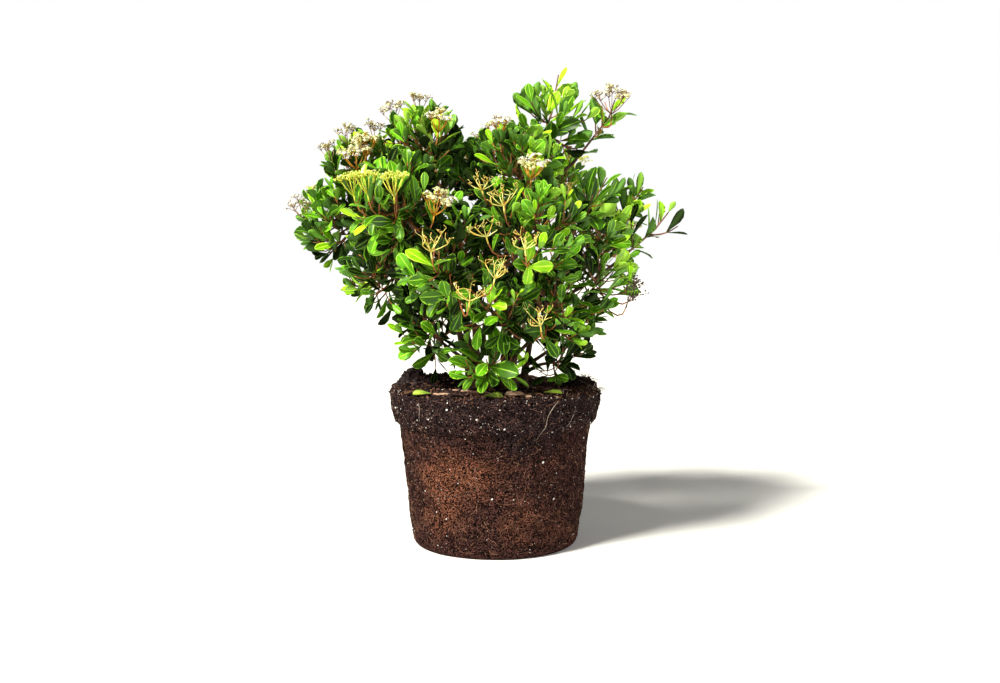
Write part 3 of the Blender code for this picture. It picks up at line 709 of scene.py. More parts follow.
def smooth_path(points, radii, step):
    """The path and its radii on a smooth curve through the points, at even steps."""
    knots = np.array([tuple(point) for point in points])
    lengths = np.linalg.norm(np.diff(knots, axis=0), axis=1)
    at = np.concatenate([[0], np.cumsum(lengths)])
    slopes = np.gradient(knots, at, axis=0)
    places = np.linspace(0, at[-1], max(3, round(at[-1] / step)))
    index = np.clip(np.searchsorted(at, places, side="right") - 1, 0, len(lengths) - 1)
    run = lengths[index][:, None]
    t = (places - at[index])[:, None] / run
    path = (
        knots[index] * (1 + 2 * t) * (1 - t) ** 2
        + slopes[index] * run * t * (1 - t) ** 2
        + knots[index + 1] * t**2 * (3 - 2 * t)
        - slopes[index + 1] * run * t**2 * (1 - t)
    )
    return path, np.interp(places, at, radii)


class Sheaf:
    """Many small closed shapes that become one mesh. Each face has the place of its finish."""

    def __init__(self):
        self.points, self.faces, self.tones, self.count = [], [], [], 0

    def add(self, points, faces, tones=0):
        self.points.append(points)
        self.faces.append(faces + self.count)
        self.tones.append(np.broadcast_to(tones, len(faces)))
        self.count += len(points)

    def mesh(self, name):
        points = np.concatenate(self.points).astype(np.float32)
        faces = np.concatenate(self.faces).astype(np.int32)
        mesh = bpy.data.meshes.new(name)
        mesh.vertices.add(len(points))
        mesh.vertices.foreach_set("co", points.ravel())
        mesh.loops.add(faces.size)
        mesh.loops.foreach_set("vertex_index", faces.ravel())
        mesh.polygons.add(len(faces))
        mesh.polygons.foreach_set("loop_start", np.arange(0, faces.size, 3))
        mesh.polygons.foreach_set("material_index", np.concatenate(self.tones).astype(np.int32))
        mesh.update()
        mesh.shade_smooth()
        return mesh


def piece(name, sheaf, finishes, nodes=()):
    """One object of a sheaf, which rides on the plant and stands for these nodes."""
    mesh = sheaf.mesh(name)
    for material in finishes:
        mesh.materials.append(material)
    obj = bpy.data.objects.new(name, mesh)
    bpy.context.scene.collection.objects.link(obj)
    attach(obj, "root")
    if nodes:
        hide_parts(*nodes)
    return obj


# One leaf


def leaf_half_width(along):
    """The half width of a spoon-shaped leaf, as a share of its greatest, at a share of its length."""
    swell = np.sin(np.pi * np.clip(along, 0, 1) ** LEAF_FULLEST)
    return np.maximum(np.clip(swell, 0, 1) ** LEAF_ROUNDNESS, LEAF_FOOT * (1 - along))


def leaf_surface(along, across, depth, form):
    """Where points of a flat leaf go once it is folded along its rib, curled back and twisted."""
    half = form.breadth * leaf_half_width(along)
    y = across * half
    z = form.fold * np.abs(across) ** FOLD_POWER * half + depth * (1 - across**2)
    turn = form.curl * along**2
    x = along * (1 - turn**2 / 10) + z * np.sin(turn)
    z = z * np.cos(turn) - along * turn / 3
    twist = form.twist * along
    return np.stack([x, y * np.cos(twist) - z * np.sin(twist), y * np.sin(twist) + z * np.cos(twist)], -1)


def leaf_template(form):
    """A closed blade of length 1 along X. Tones: 0 the upper face, 1 rib and margin, 2 beneath."""
    shares = np.linspace(0, 1, LEAF_STATIONS + 1)[:-1]
    stations = 1 - (1 - shares) ** LEAF_CROWDING
    width = len(LEAF_LINES) + len(UNDER_LINES)
    last = len(LEAF_LINES) - 1
    along, across = np.meshgrid(stations, LEAF_LINES + UNDER_LINES, indexing="ij")
    depth = np.where(np.arange(width) <= last, 0.5, -0.5) * LEAF_THICKNESS
    ribbed = np.abs(across) < RIB_REACH
    depth = depth * np.ones_like(along) - RIB_GROOVE * LEAF_THICKNESS * (ribbed & (depth > 0))
    points = leaf_surface(along, across, depth, form).reshape(-1, 3)
    tip = leaf_surface(np.array([1.0]), np.array([0.0]), np.array([0.0]), form)
    loop = [*range(last, -1, -1), last + 1, last + 2, last]
    faces, tones = [], []
    for station in range(LEAF_STATIONS):
        for order, (here, there) in enumerate(zip(loop, loop[1:])):
            tone = 2 if order >= last else int(order in (0, 3, last - 1))
            a, b = station * width + here, station * width + there
            if station == LEAF_STATIONS - 1:
                faces.append((a, LEAF_STATIONS * width, b))
                tones.append(tone)
            else:
                faces += [(a, a + width, b + width), (a, b + width, b)]
                tones += [tone, tone]
    for here, there in zip(loop[1:-1], loop[2:-1]):
        faces.append((loop[0], here, there))
        tones.append(1)
    return np.concatenate([points, tip]), np.array(faces), np.array(tones)


def leaf_proxy(form):
    """The same blade as a coarse open sheet, to test what it meets."""
    along, across = np.meshgrid(LEAF_TESTS, (-1.0, 0.0, 1.0), indexing="ij")
    points = leaf_surface(along, across, np.zeros_like(along), form).reshape(-1, 3)
    faces = []
    for row, column in product(range(len(LEAF_TESTS) - 1), range(2)):
        a = row * 3 + column
        faces += [(a, a + 1, a + 4), (a, a + 4, a + 3)]
    return points, faces


# What has grown so far


class Hedge:
    """All that stands already, in cells, so that what grows later can keep clear of it."""

    def __init__(self):
        self.cells = {}

    def cells_of(self, points):
        low = np.floor(points.min(0) / CELL).astype(int)
        high = np.floor(points.max(0) / CELL).astype(int) + 1
        return product(*(range(a, b) for a, b in zip(low, high)))

    def is_clear(self, points, faces):
        tree = BVHTree.FromPolygons(points.tolist(), faces)
        near = {}
        for cell in self.cells_of(points):
            for other in self.cells.get(cell, ()):
                near[id(other)] = other
        return not any(tree.overlap(other) for other in near.values())

    def keep(self, points, faces):
        tree = BVHTree.FromPolygons(points.tolist(), faces)
        for cell in self.cells_of(points):
            self.cells.setdefault(cell, []).append(tree)

    def keep_tube(self, path, radii, sides):
        points, faces = tube(path, radii, sides)
        self.keep(points, faces.tolist())


class Plant:
    """The sheaves of everything above the soil, and the hedge of what stands already."""

    def __init__(self):
        self.hedge = Hedge()
        self.limbs, self.twigs, self.rays = Sheaf(), Sheaf(), Sheaf()
        self.blossom = Sheaf()
        self.leaves = [Sheaf() for _ in FAMILIES]
        self.tips = np.zeros((0, 3))
        self.templates = [leaf_template(form) for form in FORMS]
        self.proxies = [leaf_proxy(form) for form in FORMS]
        self.flower, self.bud = flower_template(), ROUND_BEAD

    def add_limb(self, limb):
        """A limb with ridged bark and a swelling at each old leaf scar."""
        path, radii = smooth_path(limb.points, limb.radii, LIMB_STEP)
        seed = sum(map(ord, limb.name))
        reliefs = []
        for index, radius in enumerate(radii):
            run = index * LIMB_STEP
            swelling = max(0.0, math.cos(math.tau * run / SCAR_SPACING)) ** SCAR_SHARPNESS * SCAR_HEIGHT
            ring = []
            for corner in range(LIMB_SIDES):
                angle = math.tau * corner / LIMB_SIDES
                place = (RIDGES * math.cos(angle) + seed, RIDGES * math.sin(angle), run / RIDGE_LENGTH)
                ring.append(radius * (1 + swelling + RIDGE_DEPTH * noise.noise(place)))
            reliefs.append(ring)
        self.limbs.add(*tube(path, reliefs, LIMB_SIDES))
        radii = [radius + TWIG_CLEARANCE for radius in limb.radii]
        self.hedge.keep_tube(limb.points, radii, TEST_SIDES)

    def add_twig(self, path, radii, tone, must=False):
        """A twig, if it must grow or meets nothing past its root. Returns whether it grew."""
        points, faces = tube(path[1:], [radius + TWIG_CLEARANCE for radius in radii[1:]], TEST_SIDES)
        if not must and not self.hedge.is_clear(points, faces.tolist()):
            return False
        self.hedge.keep(points, faces.tolist())
        self.twigs.add(*tube(path, radii, TWIG_SIDES), tone)
        return True

    def is_free_tip(self, tip, apart):
        """Whether no other shoot ends this near, and if so notes this one."""
        place = np.array(tip)
        if len(self.tips) and np.linalg.norm(self.tips - place, axis=1).min() < apart:
            return False
        self.tips = np.vstack([self.tips, place])
        return True


# Masses of leaves


def spiral_of_directions(count):
    """Directions spread evenly over a ball, in a spiral from the top down."""
    golden = math.pi * (3 - math.sqrt(5))
    for k in range(count):
        z = 1 - 2 * (k + 0.5) / count
        flat = math.sqrt(1 - z * z)
        yield Vector((flat * math.cos(golden * k), flat * math.sin(golden * k), z))


class Growth:
    """The twigs, cymes and leaves of one mass, grown by a seeded rule from the mass's stalk.

    The mass keeps to its own space: within its spread of the stalk, at most BORDER_SLACK past the
    border with any other mass, and above the soil. What would leave it or touch another is skipped.
    """

    def __init__(self, plant, mass, carrier):
        self.plant, self.mass = plant, mass
        self.heart = heart_of(mass)
        self.start = carrier.points[-1]
        self.outward = (self.heart - CROWN_HEART).normalized()
        self.rising = (self.outward + UP).normalized()
        self.rng = random.Random(mass.name)
        self.pairs = round(LEAST_PAIRS + (MOST_PAIRS - LEAST_PAIRS) * mass.fullness)
        self.shoots = []
        gaps = [heart_of(other) - self.heart for other in MASSES if other is not mass]
        spreads = [other.spread for other in MASSES if other is not mass]
        self.ways_out = np.array([tuple(gap.normalized()) for gap in gaps])
        self.borders = np.array([
            (gap.length_squared + mass.spread**2 - spread**2) / (2 * gap.length)
            for gap, spread in zip(gaps, spreads)
        ])

    def room(self, points, slack=0.0):
        """How far inside the mass's space the least of the points is."""
        points = np.atleast_2d(np.array(points))
        start, heart = np.array(self.start), np.array(self.heart)
        run = heart - start
        share = np.clip((points - start) @ run / (run @ run), 0, 1)
        reach = self.mass.spread - np.linalg.norm(points - start - share[:, None] * run, axis=1)
        sides = (self.borders - (points - heart) @ self.ways_out.T).min(1) + slack
        return np.minimum(np.minimum(reach, sides), points[:, 2] - LEAF_FLOOR).min()

    def reach_of(self, origin, way, room, most=1.0):
        """The point furthest this way from the origin that still has this much room."""
        length = 0.0
        while length < most and self.room(origin + way * length, BORDER_SLACK) > room:
            length += REACH_STEP
        return origin + way * length

    def grow_stalk(self):
        """On from the carrier's tip, through the heart to the top. A long one bears leaves lower too."""
        top = self.reach_of(self.heart, self.rising, SHOOT_ROOM)
        before = self.start - (self.heart - self.start) * STALK_SUNK
        path = [before, self.start, self.start.lerp(self.heart, 0.5), self.heart, top]
        radii = [STALK_RADIUS, STALK_RADIUS, STALK_RADIUS * STALK_THINNER, TWIG_RADIUS, TWIG_TIP_RADIUS]
        self.plant.add_twig(path, radii, 0, must=True)
        self.shoots.append(Shoot(path[1:], self.pairs))
        if self.mass.stalk > STALK_LENGTH:
            self.shoots.append(Shoot(path[1:4], self.pairs, HEAD_PAIR))
        self.plant.is_free_tip(top, 0.0)

    def ways(self):
        """Where the leafy twigs go: all round the mass but to its cymes and open sides, then LEAFY_WAYS."""
        name = self.mass.name
        heads = [(bearing, rise) for _, bearing, rise in HEADS.get(name, ())]
        kept = [way_of(*aim) for aim in (*heads, *OPEN_WAYS.get(name, ()))]
        for way in spiral_of_directions(round(TWIG_WAYS * self.mass.fullness)):
            crowded = any(way.angle(other) < math.radians(HEAD_ANGLE) for other in kept)
            if LOWEST_WAY < way.dot(self.rising) < HIGHEST_WAY and not crowded:
                yield (way + UP * TWIG_LIFT).normalized()
        for aim in LEAFY_WAYS.get(name, ()):
            yield way_of(*aim)

    def root_for(self, way):
        """Where on the stalk a twig that goes this way has its root."""
        share = FIRST_TWIG + (LAST_TWIG - FIRST_TWIG) * (way.dot(self.rising) + 1) / 2
        return self.start.lerp(self.heart, share)

    def grow_heads(self):
        """A leafy shoot to each cyme of the mass, or a bare one where it has withered, and the cyme."""
        for kind, bearing, rise in HEADS.get(self.mass.name, ()):
            bloom = BLOOMS[kind]
            way = way_of(bearing, rise)
            axis = (way * CYME_LEAN + UP).normalized()
            size = self.rng.uniform(*CYME_SIZES)
            sink = (CYME_STALK + bloom.rise + bloom.fork_rise / 2) * size
            base = self.heart + way * self.mass.spread * CYME_SHARE - axis * sink
            root = self.root_for(way)
            path = bend(root, base - axis * (base - root).length / 2, base, TWIG_POINTS)
            self.plant.add_twig(path, taper(TWIG_RADIUS, TWIG_TIP_RADIUS, TWIG_POINTS), 1, must=True)
            self.plant.is_free_tip(base, 0.0)
            if kind != "withered":
                self.shoots.append(Shoot(path, self.pairs, HEAD_PAIR))
            Cyme(self.plant, base, axis, size, bloom, self.rng).grow()

    def grow_twigs(self):
        """Twigs that leave the stalk and sweep up to the edge of the mass, the lowest first."""
        for way in sorted(self.ways(), key=lambda way: way.dot(self.rising)):
            root = self.root_for(way)
            tip = self.reach_of(self.heart, way, SHOOT_ROOM)
            if (tip - root).length > SHOOT_LEAST:
                path = sweep(root, tip, TWIG_POINTS)
                if self.plant.add_twig(path, taper(TWIG_RADIUS, TWIG_TIP_RADIUS, TWIG_POINTS), 0):
                    self.plant.is_free_tip(tip, 0.0)
                    self.shoots.append(Shoot(path, self.pairs))

    def grow_side_shoots(self):
        """Finer shoots in pairs along each twig, each pair a right angle from the last."""
        for twig in list(self.shoots):
            turn = self.rng.uniform(0, math.pi)
            for order, share in enumerate(SIDE_SHARES):
                root, along = on_path(twig.path, share * (len(twig.path) - 1))
                side = side_of(along, turn + order * math.pi / 2)
                for way in (side, -side):
                    if self.rng.random() < self.mass.fullness:
                        self.grow_side_shoot(root, along, way)

    def grow_side_shoot(self, root, along, side):
        angle = math.radians(SIDE_ANGLE + self.rng.uniform(-PAIR_SWAY, PAIR_SWAY))
        way = (along * math.cos(angle) + side * math.sin(angle) + UP * SIDE_RISE).normalized()
        most = SIDE_LENGTH * self.rng.uniform(SIDE_SHORTEST, 1.0)
        tip = self.reach_of(root, way, SHOOT_ROOM, most)
        if (tip - root).length < SIDE_LEAST or not self.plant.is_free_tip(tip, SHOOT_APART):
            return
        path = sweep(root, tip, SIDE_POINTS)
        radii = [TWIG_TIP_RADIUS * share for share in taper(*SIDE_TAPER, SIDE_POINTS)]
        if self.plant.add_twig(path, radii, 1):
            self.shoots.append(Shoot(path, SIDE_PAIRS))

    def grow_leaves(self):
        """A spray on each shoot, from the outermost in."""
        for shoot in sorted(self.shoots, key=lambda shoot: -shoot.path[-1].dot(self.rising)):
            self.add_spray(shoot, self.light_at(shoot.path[-1]))

    def light_at(self, tip):
        """How light a spray is from 0 to 1: its mass's tone, with painted light on high and outer sprays,
        painted shade on inner ones, and some chance.
        """
        outer = (tip - self.heart).dot(self.outward) / self.mass.spread
        # Painted light on the outer side of the mass, painted shade on its inner side.
        return self.mass.tone - INNER_SHADE + OUTER_PAINTED_LIGHT * outer + self.rng.gauss(0, LIGHT_SWAY)

    def add_spray(self, shoot, light):
        """Pairs of leaves back from a shoot's tip, each pair a right angle from the last."""
        turn = self.rng.uniform(0, math.pi)
        length = sum((b - a).length for a, b in zip(shoot.path, shoot.path[1:]))
        spacing = PAIR_SPACING * (2 - self.mass.fullness)
        for order in range(shoot.pairs):
            back = spacing * order * (1 + PAIR_STRETCH * order) + TWIG_TIP_RADIUS
            if back < length - SHOOT_BARE:
                node, along = walk_back(shoot.path, back)
                shade = light - PAIR_SHADE * order
                self.add_pair(node, along, turn + order * math.pi / 2, order + shoot.first, shade)

    def add_pair(self, node, along, turn, order, light):
        """Two leaves, one each side of the twig, that turn their upper faces to its tip."""
        side = side_of(along, turn)
        order = min(order, len(PAIR_ANGLES) - 1)
        length = LEAF_LENGTH * LARGER_LEAVES.get(self.mass.name, 1.0) * PAIR_SIZES[order]
        for way in (side, -side):
            opening = math.radians(PAIR_ANGLES[order] + self.rng.uniform(-PAIR_SWAY, PAIR_SWAY))
            direction = along * math.cos(opening) + way * math.sin(opening)
            direction += (UP + self.outward) * LEAF_LIFT
            facing = along + UP * self.rng.uniform(*FACING_UP) + self.outward * FACING_OUT
            size = length * (1 + self.rng.uniform(-SIZE_SWAY, SIZE_SWAY))
            self.add_leaf(node, direction, facing, size, light)

    def add_leaf(self, root, direction, facing, size, light):
        """The leaf, a little smaller and turned where it would meet something, or none at all."""
        choice = self.rng.randrange(len(FORMS))
        roll = self.rng.gauss(0, ROLL_SWAY)
        for _ in range(LEAF_TRIES):
            turn = np.array(frame_along(direction, facing) @ Matrix.Rotation(roll, 3, "X")) * size
            points, faces = self.plant.proxies[choice]
            points = points @ turn.T + np.array(root)
            if self.room(points, BORDER_SLACK) > 0 and self.plant.hedge.is_clear(points, faces):
                self.plant.hedge.keep(points, faces)
                points, faces, tones = self.plant.templates[choice]
                family = min(max(int(light * len(FAMILIES)), 0), len(FAMILIES) - 1)
                self.plant.leaves[family].add(points @ turn.T + np.array(root), faces, tones)
                return
            size *= LEAF_SHRINK
            roll = -roll


def side_of(along, turn):
    """A direction across this one, turned round it."""
    return Matrix.Rotation(turn, 3, along) @ along.orthogonal().normalized()


def sweep(root, tip, count):
    """Points from root to tip along a twig that sags a little in the middle."""
    return bend(root, root.lerp(tip, 0.5) - UP * (tip - root).length * TWIG_SWEEP, tip, count)


def walk_back(path, back):
    """The place this far back from the path's end, and which way the path goes there."""
    for end, start in zip(path[::-1], path[-2::-1]):
        length = (end - start).length
        if back <= length:
            return end.lerp(start, back / length), (end - start).normalized()
        back -= length
    return path[0], (path[1] - path[0]).normalized()


# Cymes


def flower_template():
    """Five cupped petals in one closed shape of radius 1, with a small knob in the middle."""
    count = FLOWER_CORNERS
    rim = []
    for corner in range(count):
        angle = corner * math.tau / count
        petal = abs(math.cos(PETALS / 2 * angle))
        radius = PETAL_NOTCH + (1 - PETAL_NOTCH) * petal**0.5
        rim.append((radius * math.cos(angle), radius * math.sin(angle), PETAL_CUP * radius))
    points = np.array(rim + [(0, 0, FLOWER_HALF), (0, 0, -FLOWER_HALF)])
    corner = np.arange(count)
    after = (corner + 1) % count
    top = np.stack([np.full(count, count), corner, after], 1)
    under = np.stack([np.full(count, count + 1), after, corner], 1)
    knob, knob_faces = PLAIN_BEAD
    points = np.concatenate([points, knob * KNOB_SIZE + np.array([0, 0, KNOB_RISE])])
    faces = np.concatenate([top, under, knob_faces + count + 2])
    tones = np.concatenate([np.full(2 * count, PETAL_WHITE), np.full(len(knob_faces), FLOWER_MIDDLE)])
    return points, faces, tones


def bead_template(corners, *rows):
    """A rounded bead through rows of (radius, height), closed by a point at each end."""
    points = [(0, 0, rows[0][1])]
    for radius, height in rows[1:-1]:
        for corner in range(corners):
            angle = math.tau * corner / corners
            points.append((radius * math.cos(angle), radius * math.sin(angle), height))
    points.append((0, 0, rows[-1][1]))
    faces = []
    last_ring = len(points) - 1 - corners
    for corner in range(corners):
        after = (corner + 1) % corners
        faces.append((0, 1 + after, 1 + corner))
        for ring in range(1, last_ring, corners):
            a, b = ring + corner, ring + after
            faces += [(a, b, b + corners), (a, b + corners, a + corners)]
        faces.append((len(points) - 1, last_ring + corner, last_ring + after))
    return np.array(points, float), np.array(faces)


# A rounded bead, and the plainest one, for the smallest grains and a flower's knob.
ROUND_BEAD = bead_template(6, (0.0, -1.0), (0.80, -0.55), (0.98, 0.15), (0.62, 0.75), (0.0, 1.0))
PLAIN_BEAD = bead_template(4, (0.0, -1.0), (1.0, 0.0), (0.0, 1.0))


def place(template, size, turn, at):
    """The template's points once it is made this size, turned and moved there."""
    return template @ (np.array(turn) * size).T + np.array(at)


class Cyme:
    """One head of blossom on a shoot's tip."""

    def __init__(self, plant, base, axis, size, bloom, rng):
        self.plant, self.base, self.axis, self.size = plant, base, axis, size
        self.bloom, self.rng = bloom, rng
        self.turn = frame_of(axis)

    def offset(self, angle, reach, rise):
        """A step out from the axis at this angle, and up along it."""
        return self.turn @ Vector((reach * math.cos(angle), reach * math.sin(angle), rise)) * self.size

    def uneven(self, value):
        """The value, made a little more or less by chance."""
        return value * (1 + self.rng.uniform(-1, 1) * self.bloom.sway)

    def add_stalk(self, path, first, last, sides):
        points, faces = tube(path, np.linspace(first, last, len(path)), sides)
        self.plant.rays.add(points, faces, self.bloom.stalk)

    def grow(self):
        """The stalk, then rays all round and one in the middle, each with its forks."""
        bloom, rng = self.bloom, self.rng
        fork = self.base + self.offset(0, 0, CYME_STALK)
        self.add_stalk([self.base, fork], STALK_TIP_RADIUS, bloom.radius * RAY_FOOT, STALK_SIDES)
        spin = rng.uniform(0, math.tau)
        for ray in range(bloom.rays):
            angle = spin + math.tau * ray / (bloom.rays - 1) + rng.uniform(-1, 1) * bloom.sway * RAY_SWAY
            share = MIDDLE_RAY if ray == bloom.rays - 1 else self.uneven(1.0)
            rise = self.uneven(bloom.rise * (1 + bloom.dome * (1 - share)))
            elbow = fork + self.offset(angle, bloom.reach * share, rise)
            middle = fork + self.offset(angle, bloom.reach * share * (0.5 + RAY_BOW), rise * 0.5)
            self.add_stalk([fork, middle, elbow], bloom.radius, FORK_RADIUS, RAY_SIDES)
            self.grow_forks(fork, elbow, angle)
        self.keep_clear(fork)

    def grow_forks(self, fork, elbow, angle):
        """The forks at the end of a ray, and a cluster of florets on each."""
        bloom, rng = self.bloom, self.rng
        tone = PETAL_CREAM if rng.random() < CREAM_CHANCE else PETAL_WHITE
        for part in range(bloom.forks):
            side = angle + math.tau * part / (bloom.forks - 1) + rng.uniform(-1, 1) * bloom.sway * FORK_SWAY
            reach = self.uneven(bloom.fork_reach * (MIDDLE_FORK if part == 0 else 1.0))
            end = elbow + self.offset(side, reach, self.uneven(bloom.fork_rise))
            self.add_stalk([elbow, end], FORK_RADIUS, PEDICEL_RADIUS, FORK_SIDES)
            leaning = (end - fork).normalized() + self.axis
            for _ in range(bloom.florets):
                tilt = self.turn @ way_of(rng.uniform(0, 360), rng.uniform(*PEDICEL_RISES))
                at = end + tilt * PEDICEL * self.size
                self.add_stalk([end, at], PEDICEL_RADIUS, PEDICEL_RADIUS * PEDICEL_TAPER, FORK_SIDES)
                self.add_floret(at, (leaning + tilt * 2).normalized(), tone)

    def add_floret(self, at, axis, tone):
        """A flower or a bud."""
        rng = self.rng
        turn = frame_of(axis) @ Matrix.Rotation(rng.uniform(0, math.tau), 3, "Z")
        if rng.random() < self.bloom.flowering:
            points, faces, petals = self.plant.flower
            size = FLOWER_RADIUS * rng.uniform(*FLOWER_SIZES)
            tones = np.where(petals == PETAL_WHITE, tone, petals)
        else:
            points, faces = self.plant.bud
            size = BUD_RADIUS * self.bloom.bud_size * rng.uniform(*BUD_SIZES)
            tones = self.bloom.bud
        self.plant.blossom.add(place(points, size, turn, at), faces, tones)

    def keep_clear(self, fork):
        """Notes the whole head, so that no leaf grows into it or right over it."""
        bloom, size = self.bloom, self.size
        reach = (bloom.reach + bloom.fork_reach) * size
        top = fork + self.offset(0, 0, bloom.rise + bloom.fork_rise)
        path = [fork, top, top + self.axis * CYME_CLEARANCE]
        self.plant.hedge.keep_tube(path, [CYME_FOOT, reach, reach], CYME_TEST_SIDES)


# Root ball


def ball_profile():
    """The ball's outline from the soil's middle, down its side to its foot, as (radius, height)."""
    rim_bottom = BALL_HEIGHT - RIM_DEPTH
    waist = rim_bottom - RIM_STEP
    half_way = (BALL_WAIST_RADIUS + BALL_FOOT_RADIUS) / 2
    return (
        (0.0, BALL_HEIGHT),
        (BALL_RIM_RADIUS - SOIL_CORNER, BALL_HEIGHT - SOIL_CORNER / 4),
        (BALL_RIM_RADIUS, BALL_HEIGHT - SOIL_CORNER),
        (BALL_RIM_RADIUS - RIM_STEP / 3, rim_bottom + RIM_DEPTH / 2),
        (BALL_RIM_RADIUS - RIM_STEP, rim_bottom),
        (BALL_WAIST_RADIUS, waist),
        (half_way + RIM_STEP / 4, waist * SIDE_BULGE),
        (half_way - RIM_STEP / 3, waist * SIDE_HOLLOW),
        (BALL_FOOT_RADIUS, FOOT_CHAMFER),
        (BALL_FOOT_RADIUS - FOOT_CHAMFER, 0.0),
    )


def roughness(point):
    """How far the skin stands out here: lumps, clods and grains."""
    return sum(height * noise.noise(point / width) for height, width in SKIN_RELIEF)


def mound(point):
    """How high the soil is heaped here."""
    rise = 0.0
    for bearing, reach, height, width in MOUNDS:
        gap = (point - place_at(bearing, reach, point.z)).length
        rise += height * math.exp(-((gap / width) ** 2))
    return rise


class Ball:
    """The soil's skin as rows of points round the axis, from the middle of the top to the foot."""

    def __init__(self):
        knots = np.array(ball_profile())
        at = np.concatenate([[0], np.cumsum(np.linalg.norm(np.diff(knots, axis=0), axis=1))])
        places = np.linspace(0, at[-1], round(at[-1] / BALL_ROW))
        profile = np.stack([np.interp(places, at, knots[:, 0]), np.interp(places, at, knots[:, 1])], 1)
        slope = np.gradient(profile, axis=0)
        slope /= np.linalg.norm(slope, axis=1)[:, None]
        self.rows = len(places)
        self.edge = int(np.searchsorted(places, at[1]))
        self.heights = profile[:, 1]
        self.points = np.zeros((self.rows, BALL_COLUMNS, 3))
        for row, column in product(range(self.rows), range(BALL_COLUMNS)):
            flat = place_at(360 * column / BALL_COLUMNS, 1.0, 0.0)
            point = flat * profile[row, 0] + UP * profile[row, 1]
            level = min(1.0, (self.rows - 1 - row) / FOOT_ROWS)
            point += (UP * slope[row, 0] - flat * slope[row, 1]) * roughness(point) * level
            if row < self.edge:
                point.z += mound(point) * min(1.0, (self.edge - row) / EDGE_ROWS)
            self.points[row, column] = point
        self.points[0] = self.points[0, 0]
        down = np.gradient(self.points, axis=0)
        around = np.roll(self.points, -1, 1) - np.roll(self.points, 1, 1)
        normals = np.cross(down, around)
        self.normals = normals / np.maximum(np.linalg.norm(normals, axis=2), LEAST_NORMAL)[..., None]

    def sheaf(self):
        """The skin, closed by one point in the middle of the top and one beneath."""
        skin = Sheaf()
        ends = np.array([self.points[0, 0], (0.0, 0.0, 0.0)])
        points = np.concatenate([self.points[1:].reshape(-1, 3), ends])
        skin.add(points, tube_faces(self.rows - 1, BALL_COLUMNS)[:, ::-1])
        return skin

    def spot(self, row, column, lift=0.0):
        """The point of the skin at this row and column, lifted off it."""
        row = min(max(row, 1.0), self.rows - FOOT_ROWS)
        a, b = int(row), math.floor(column)
        c, b, t, s = (b + 1) % BALL_COLUMNS, b % BALL_COLUMNS, column - b, row - a
        above = self.points[a, b] * (1 - t) + self.points[a, c] * t
        below = self.points[a + 1, b] * (1 - t) + self.points[a + 1, c] * t
        return Vector(above * (1 - s) + below * s + self.normals[a, b] * lift)

    def normal(self, row, column):
        return Vector(self.normals[min(int(row), self.rows - 1), int(column) % BALL_COLUMNS])

    def side_row(self, height):
        """The row of the side that is at this height."""
        return float(np.interp(-height, -self.heights[self.edge:], np.arange(self.edge, self.rows)))

    def crawl(self, row, column, heading, length, count, lift, rng):
        """Points that follow the skin from a spot, winding a little. Heading 0 goes level."""
        points = []
        for _ in range(count):
            points.append(self.spot(row, column, lift * rng.uniform(*LIFT_SWAY)))
            radius = math.hypot(points[-1].x, points[-1].y)
            step = length / (count - 1)
            row += math.sin(heading) * step / BALL_ROW
            column += math.cos(heading) * step / (math.tau * max(radius, LEAST_CIRCLE) / BALL_COLUMNS)
            heading += rng.gauss(0, WINDING)
        return points


def top_row(ball, reach):
    """The row of the top that is this far from the axis."""
    return min(ball.edge * reach / (BALL_RIM_RADIUS - SOIL_CORNER), ball.edge)


def column_at(bearing):
    """The column of the ball's skin at this bearing."""
    return bearing * BALL_COLUMNS / 360


def random_spot(ball, rng, where):
    """A row and column anywhere on top of the ball, evenly over its area, at its rim or on its side."""
    if where == "top":
        return 1 + (ball.edge - 1) * math.sqrt(rng.random()), rng.uniform(0, BALL_COLUMNS)
    if where == "rim":
        return ball.edge + rng.gauss(0, EDGE_SWAY), rng.uniform(0, BALL_COLUMNS)
    return rng.uniform(ball.edge, ball.rows - BARE_ROWS), rng.uniform(0, BALL_COLUMNS)


def any_way(rng):
    """A direction by chance."""
    return way_of(rng.uniform(0, 360), rng.uniform(-90, 90))


def ragged(bead, sway, rng):
    """A bead whose corners stand in or out by chance."""
    return bead * np.array([[rng.uniform(*sway)] for _ in bead])


def is_heaped(at):
    """Whether this is so high on a mound that the soil is black."""
    return at.z > BALL_HEIGHT + MOUND_BLACK


def lay_fibres(ball):
    """The mat of fine roots on the side of the ball, and the odd one on top."""
    rng = random.Random("fibres")
    fibres = Sheaf()
    for _, where in zip(range(FIBRES), cycle(FIBRE_PLACES)):
        row, column = random_spot(ball, rng, where)
        heading = rng.gauss(0, FIBRE_HEADING)
        length = rng.uniform(*FIBRE_LENGTHS)
        radius = rng.uniform(*FIBRE_RADII)
        path = ball.crawl(row, column, heading, length, FIBRE_POINTS, FIBRE_LIFT, rng)
        tone = rng.choices(range(len(FIBRE_SHARES)), FIBRE_SHARES)[0]
        if path[0].z > BAND_FOOT:
            tone = rng.choice(FIBRES_IN_BAND)
        radii = [radius] * (FIBRE_POINTS - 1) + [radius / 2]
        fibres.add(*tube(path, radii, FIBRE_SIDES), tone)
    return fibres


